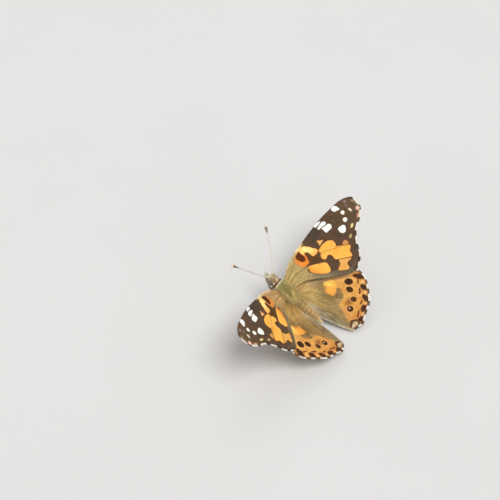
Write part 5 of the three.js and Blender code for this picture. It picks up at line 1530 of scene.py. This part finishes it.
def antenna(side, name):
    """Some forty short segments, each with a pale ring, and a flattened club with a cream end."""
    n = 420
    t = np.linspace(-0.012, 1, n)
    bow = 0.35 * np.sin(math.pi * np.clip(t, 0, 1))
    base = ANT_BASE + (ANT_TIP - ANT_BASE) * t[:, None] + np.stack([bow * 0.4, -bow * 0.8, bow * 0.3], -1)
    line = at(side, base[:, 0], base[:, 1], base[:, 2])
    length = float(np.linalg.norm(ANT_TIP - ANT_BASE))
    club = 1 - 2.3 / length
    seg = (t * 42) % 1.0
    r = np.where(t < club, 0.185 + 0.014 * np.sin(seg * math.pi),
                 np.interp((t - club) / (1 - club), [0, 0.18, 0.45, 0.72, 0.88, 0.96, 1.0], [0.19, 0.25, 0.36, 0.4, 0.34, 0.22, 0.05]))
    r = r + 0.09 * smooth(0.035, 0.0, t) - 0.03 * smooth(0.05, 0.03, t) * smooth(0.02, 0.035, t)
    d = np.gradient(line, axis=0)
    d = unit(d)
    x = unit(np.cross(d, [0.0, 0.0, 1.0]))
    y = np.cross(x, d)
    w = np.arange(18) / 18 * 2 * math.pi
    flat = np.where(t > club, 0.82, 1.0)
    V = line[:, None] + x[:, None] * (np.cos(w)[None, :, None] * r[:, None, None]) + y[:, None] * (np.sin(w)[None, :, None] * (r * flat)[:, None, None])
    rings = list(V)
    V, F = loft(rings)
    tone = np.empty((n, 18, 3))
    tone[:] = rgb(154, 142, 122)
    pale = smooth(0.22, 0.4, seg) * smooth(0.98, 0.86, seg)
    tone = over(tone, rgb(238, 234, 224), (pale * smooth(1.0, 0.9, t))[:, None] * (0.62 + 0.3 * (np.sin(w)[None] > -0.4)))
    tone = over(tone, rgb(70, 54, 42), (smooth(club - 0.02, club + 0.05, t))[:, None] * 0.85 + 0 * w[None])
    tone = over(tone, rgb(222, 196, 152), (smooth(0.935, 0.975, t))[:, None] + 0 * w[None])
    tone = over(tone, rgb(196, 178, 146), (smooth(club + 0.03, club + 0.07, t) * smooth(0.95, 0.9, t))[:, None] * (np.sin(w)[None] > 0.1) * 0.55)
    C = np.concatenate([tone.reshape(-1, 3), tone[0, :1], tone[-1, :1]])
    ob = build(f"feeler_{name}", V, F, SHELL, np.clip(C, 0, 1))
    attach(ob, "root")
    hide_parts(f"antenna_{name}", f"antenna_club_{name}")


antenna(1, "left")
antenna(-1, "right")


def tongue():
    """The coiled tongue, a tight spiral held on edge between the palps."""
    turns, n = 3.2, 260
    t = np.linspace(0, 1, n)
    a = 0.6 * math.pi + t * turns * 2 * math.pi
    r = 0.52 - 0.42 * t
    c = at(1, 0, 5.72, 1.02)
    line = np.stack([c[0] + 0.04 * (1 - t), c[1] + r * np.cos(a), c[2] + r * np.sin(a)], -1)
    thick = np.interp(t, [0, 0.8, 1], [0.085, 0.06, 0.03])
    d = unit(np.gradient(line, axis=0))
    x = np.broadcast_to([1.0, 0.0, 0.0], line.shape)
    y = np.cross(x, d)
    w = np.arange(12) / 12 * 2 * math.pi
    V = line[:, None] + x[:, None] * (np.cos(w)[None, :, None] * (thick * 1.5)[:, None, None]) + y[:, None] * (np.sin(w)[None, :, None] * thick[:, None, None])
    V, F = loft(list(V))
    tone = np.empty((n, 12, 3))
    tone[:] = rgb(112, 76, 44)
    tone = over(tone, rgb(64, 42, 28), (0.5 + 0.5 * np.sin(t * 420))[:, None] * 0.5 + 0 * w[None])
    C = np.concatenate([tone.reshape(-1, 3), tone[0, :1], tone[-1, :1]])
    ob = build("coiled_tongue", V, F, SHELL, C)
    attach(ob, "root")
    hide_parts("tongue")


tongue()


# ------------------------------------------------------------------ stage, light and camera
def stage():
    """Flat floor whose far rim curves up, so that low views show no hard horizon."""
    me = bpy.data.meshes.new("floor")
    turn = np.arange(120) / 120 * 2 * math.pi
    bend = np.linspace(0, rad(62), 26)
    radius = np.r_[0.02, 0.3, 0.8, 1.3 + 0.6 * np.sin(bend), 1.3 + 0.6 * math.sin(bend[-1]) + 0.09]
    height = np.r_[0.0, 0.0, 0.0, 0.6 * (1 - np.cos(bend)), 0.6 * (1 - math.cos(bend[-1])) + 0.17]
    V, F = [(0.0, 0.0, 0.0)], []
    for k, (r, z) in enumerate(zip(radius, height)):
        V += [(r * math.cos(a), r * math.sin(a), z) for a in turn]
        for i in range(120):
            j = (i + 1) % 120
            if k == 0:
                F.append((0, 1 + i, 1 + j))
            else:
                a, b = 1 + (k - 1) * 120, 1 + k * 120
                F.append((a + i, b + i, b + j, a + j))
    me.from_pydata(V, [], F)
    me.polygons.foreach_set("use_smooth", [True] * len(F))
    ob = bpy.data.objects.new("floor", me)
    bpy.context.scene.collection.objects.link(ob)
    m, t, shader = new_material("floor_paper")
    grain = node(t, "ShaderNodeTexNoise")
    grain.inputs["Scale"].default_value = 60.0
    ramp = node(t, "ShaderNodeValToRGB")
    ramp.color_ramp.elements[0].color = (0.60, 0.595, 0.58, 1)
    ramp.color_ramp.elements[1].color = (0.63, 0.625, 0.61, 1)
    t.links.new(grain.outputs["Fac"], ramp.inputs["Fac"])
    t.links.new(ramp.outputs["Color"], shader.inputs["Base Color"])
    shader.inputs["Roughness"].default_value = 0.9
    me.materials.append(m)


stage()


def soft_sun(name, place, energy, angle, colour=(1, 1, 1)):
    from mathutils import Vector
    light = bpy.data.lights.new(name, "SUN")
    light.energy = energy
    light.angle = rad(angle)
    light.color = colour
    ob = bpy.data.objects.new(name, light)
    bpy.context.scene.collection.objects.link(ob)
    ob.location = place
    ob.rotation_euler = (-Vector(place)).to_track_quat("-Z", "Y").to_euler()
    return ob


soft_sun("key", (0.10, 0.28, 0.62), 2.36, 34, (1.0, 0.985, 0.96))
soft_sun("fill", (-0.45, -0.25, 0.40), 0.44, 42, (0.96, 0.98, 1.0))
soft_sun("back", (0.35, -0.50, 0.30), 0.28, 33, (0.98, 0.99, 1.0))

world = bpy.data.worlds.new("studio")
world.use_nodes = True
world.node_tree.nodes["Background"].inputs[0].default_value = (0.93, 0.95, 1.0, 1)
world.node_tree.nodes["Background"].inputs[1].default_value = 0.50
bpy.context.scene.world = world
bpy.context.scene.view_settings.view_transform = "Standard"
bpy.context.scene.view_settings.look = "None"

from mathutils import Matrix

cam_data = bpy.data.cameras.new("photo_view")
cam_data.sensor_width = 36.0
cam_data.lens = 105.12
cam_data.clip_start = 0.005
cam_data.clip_end = 20.0
cam = bpy.data.objects.new("photo_view", cam_data)
right, top_, back_ = (-0.52549, 0.85080, 0.0), (-0.62223, -0.38432, 0.68200), (0.58025, 0.35838, 0.73135)
cam.matrix_world = Matrix(((right[0], top_[0], back_[0], 0.23010), (right[1], top_[1], back_[1], 0.12587), (right[2], top_[2], back_[2], 0.30777), (0, 0, 0, 1)))
bpy.context.scene.collection.objects.link(cam)
bpy.context.scene.camera = cam
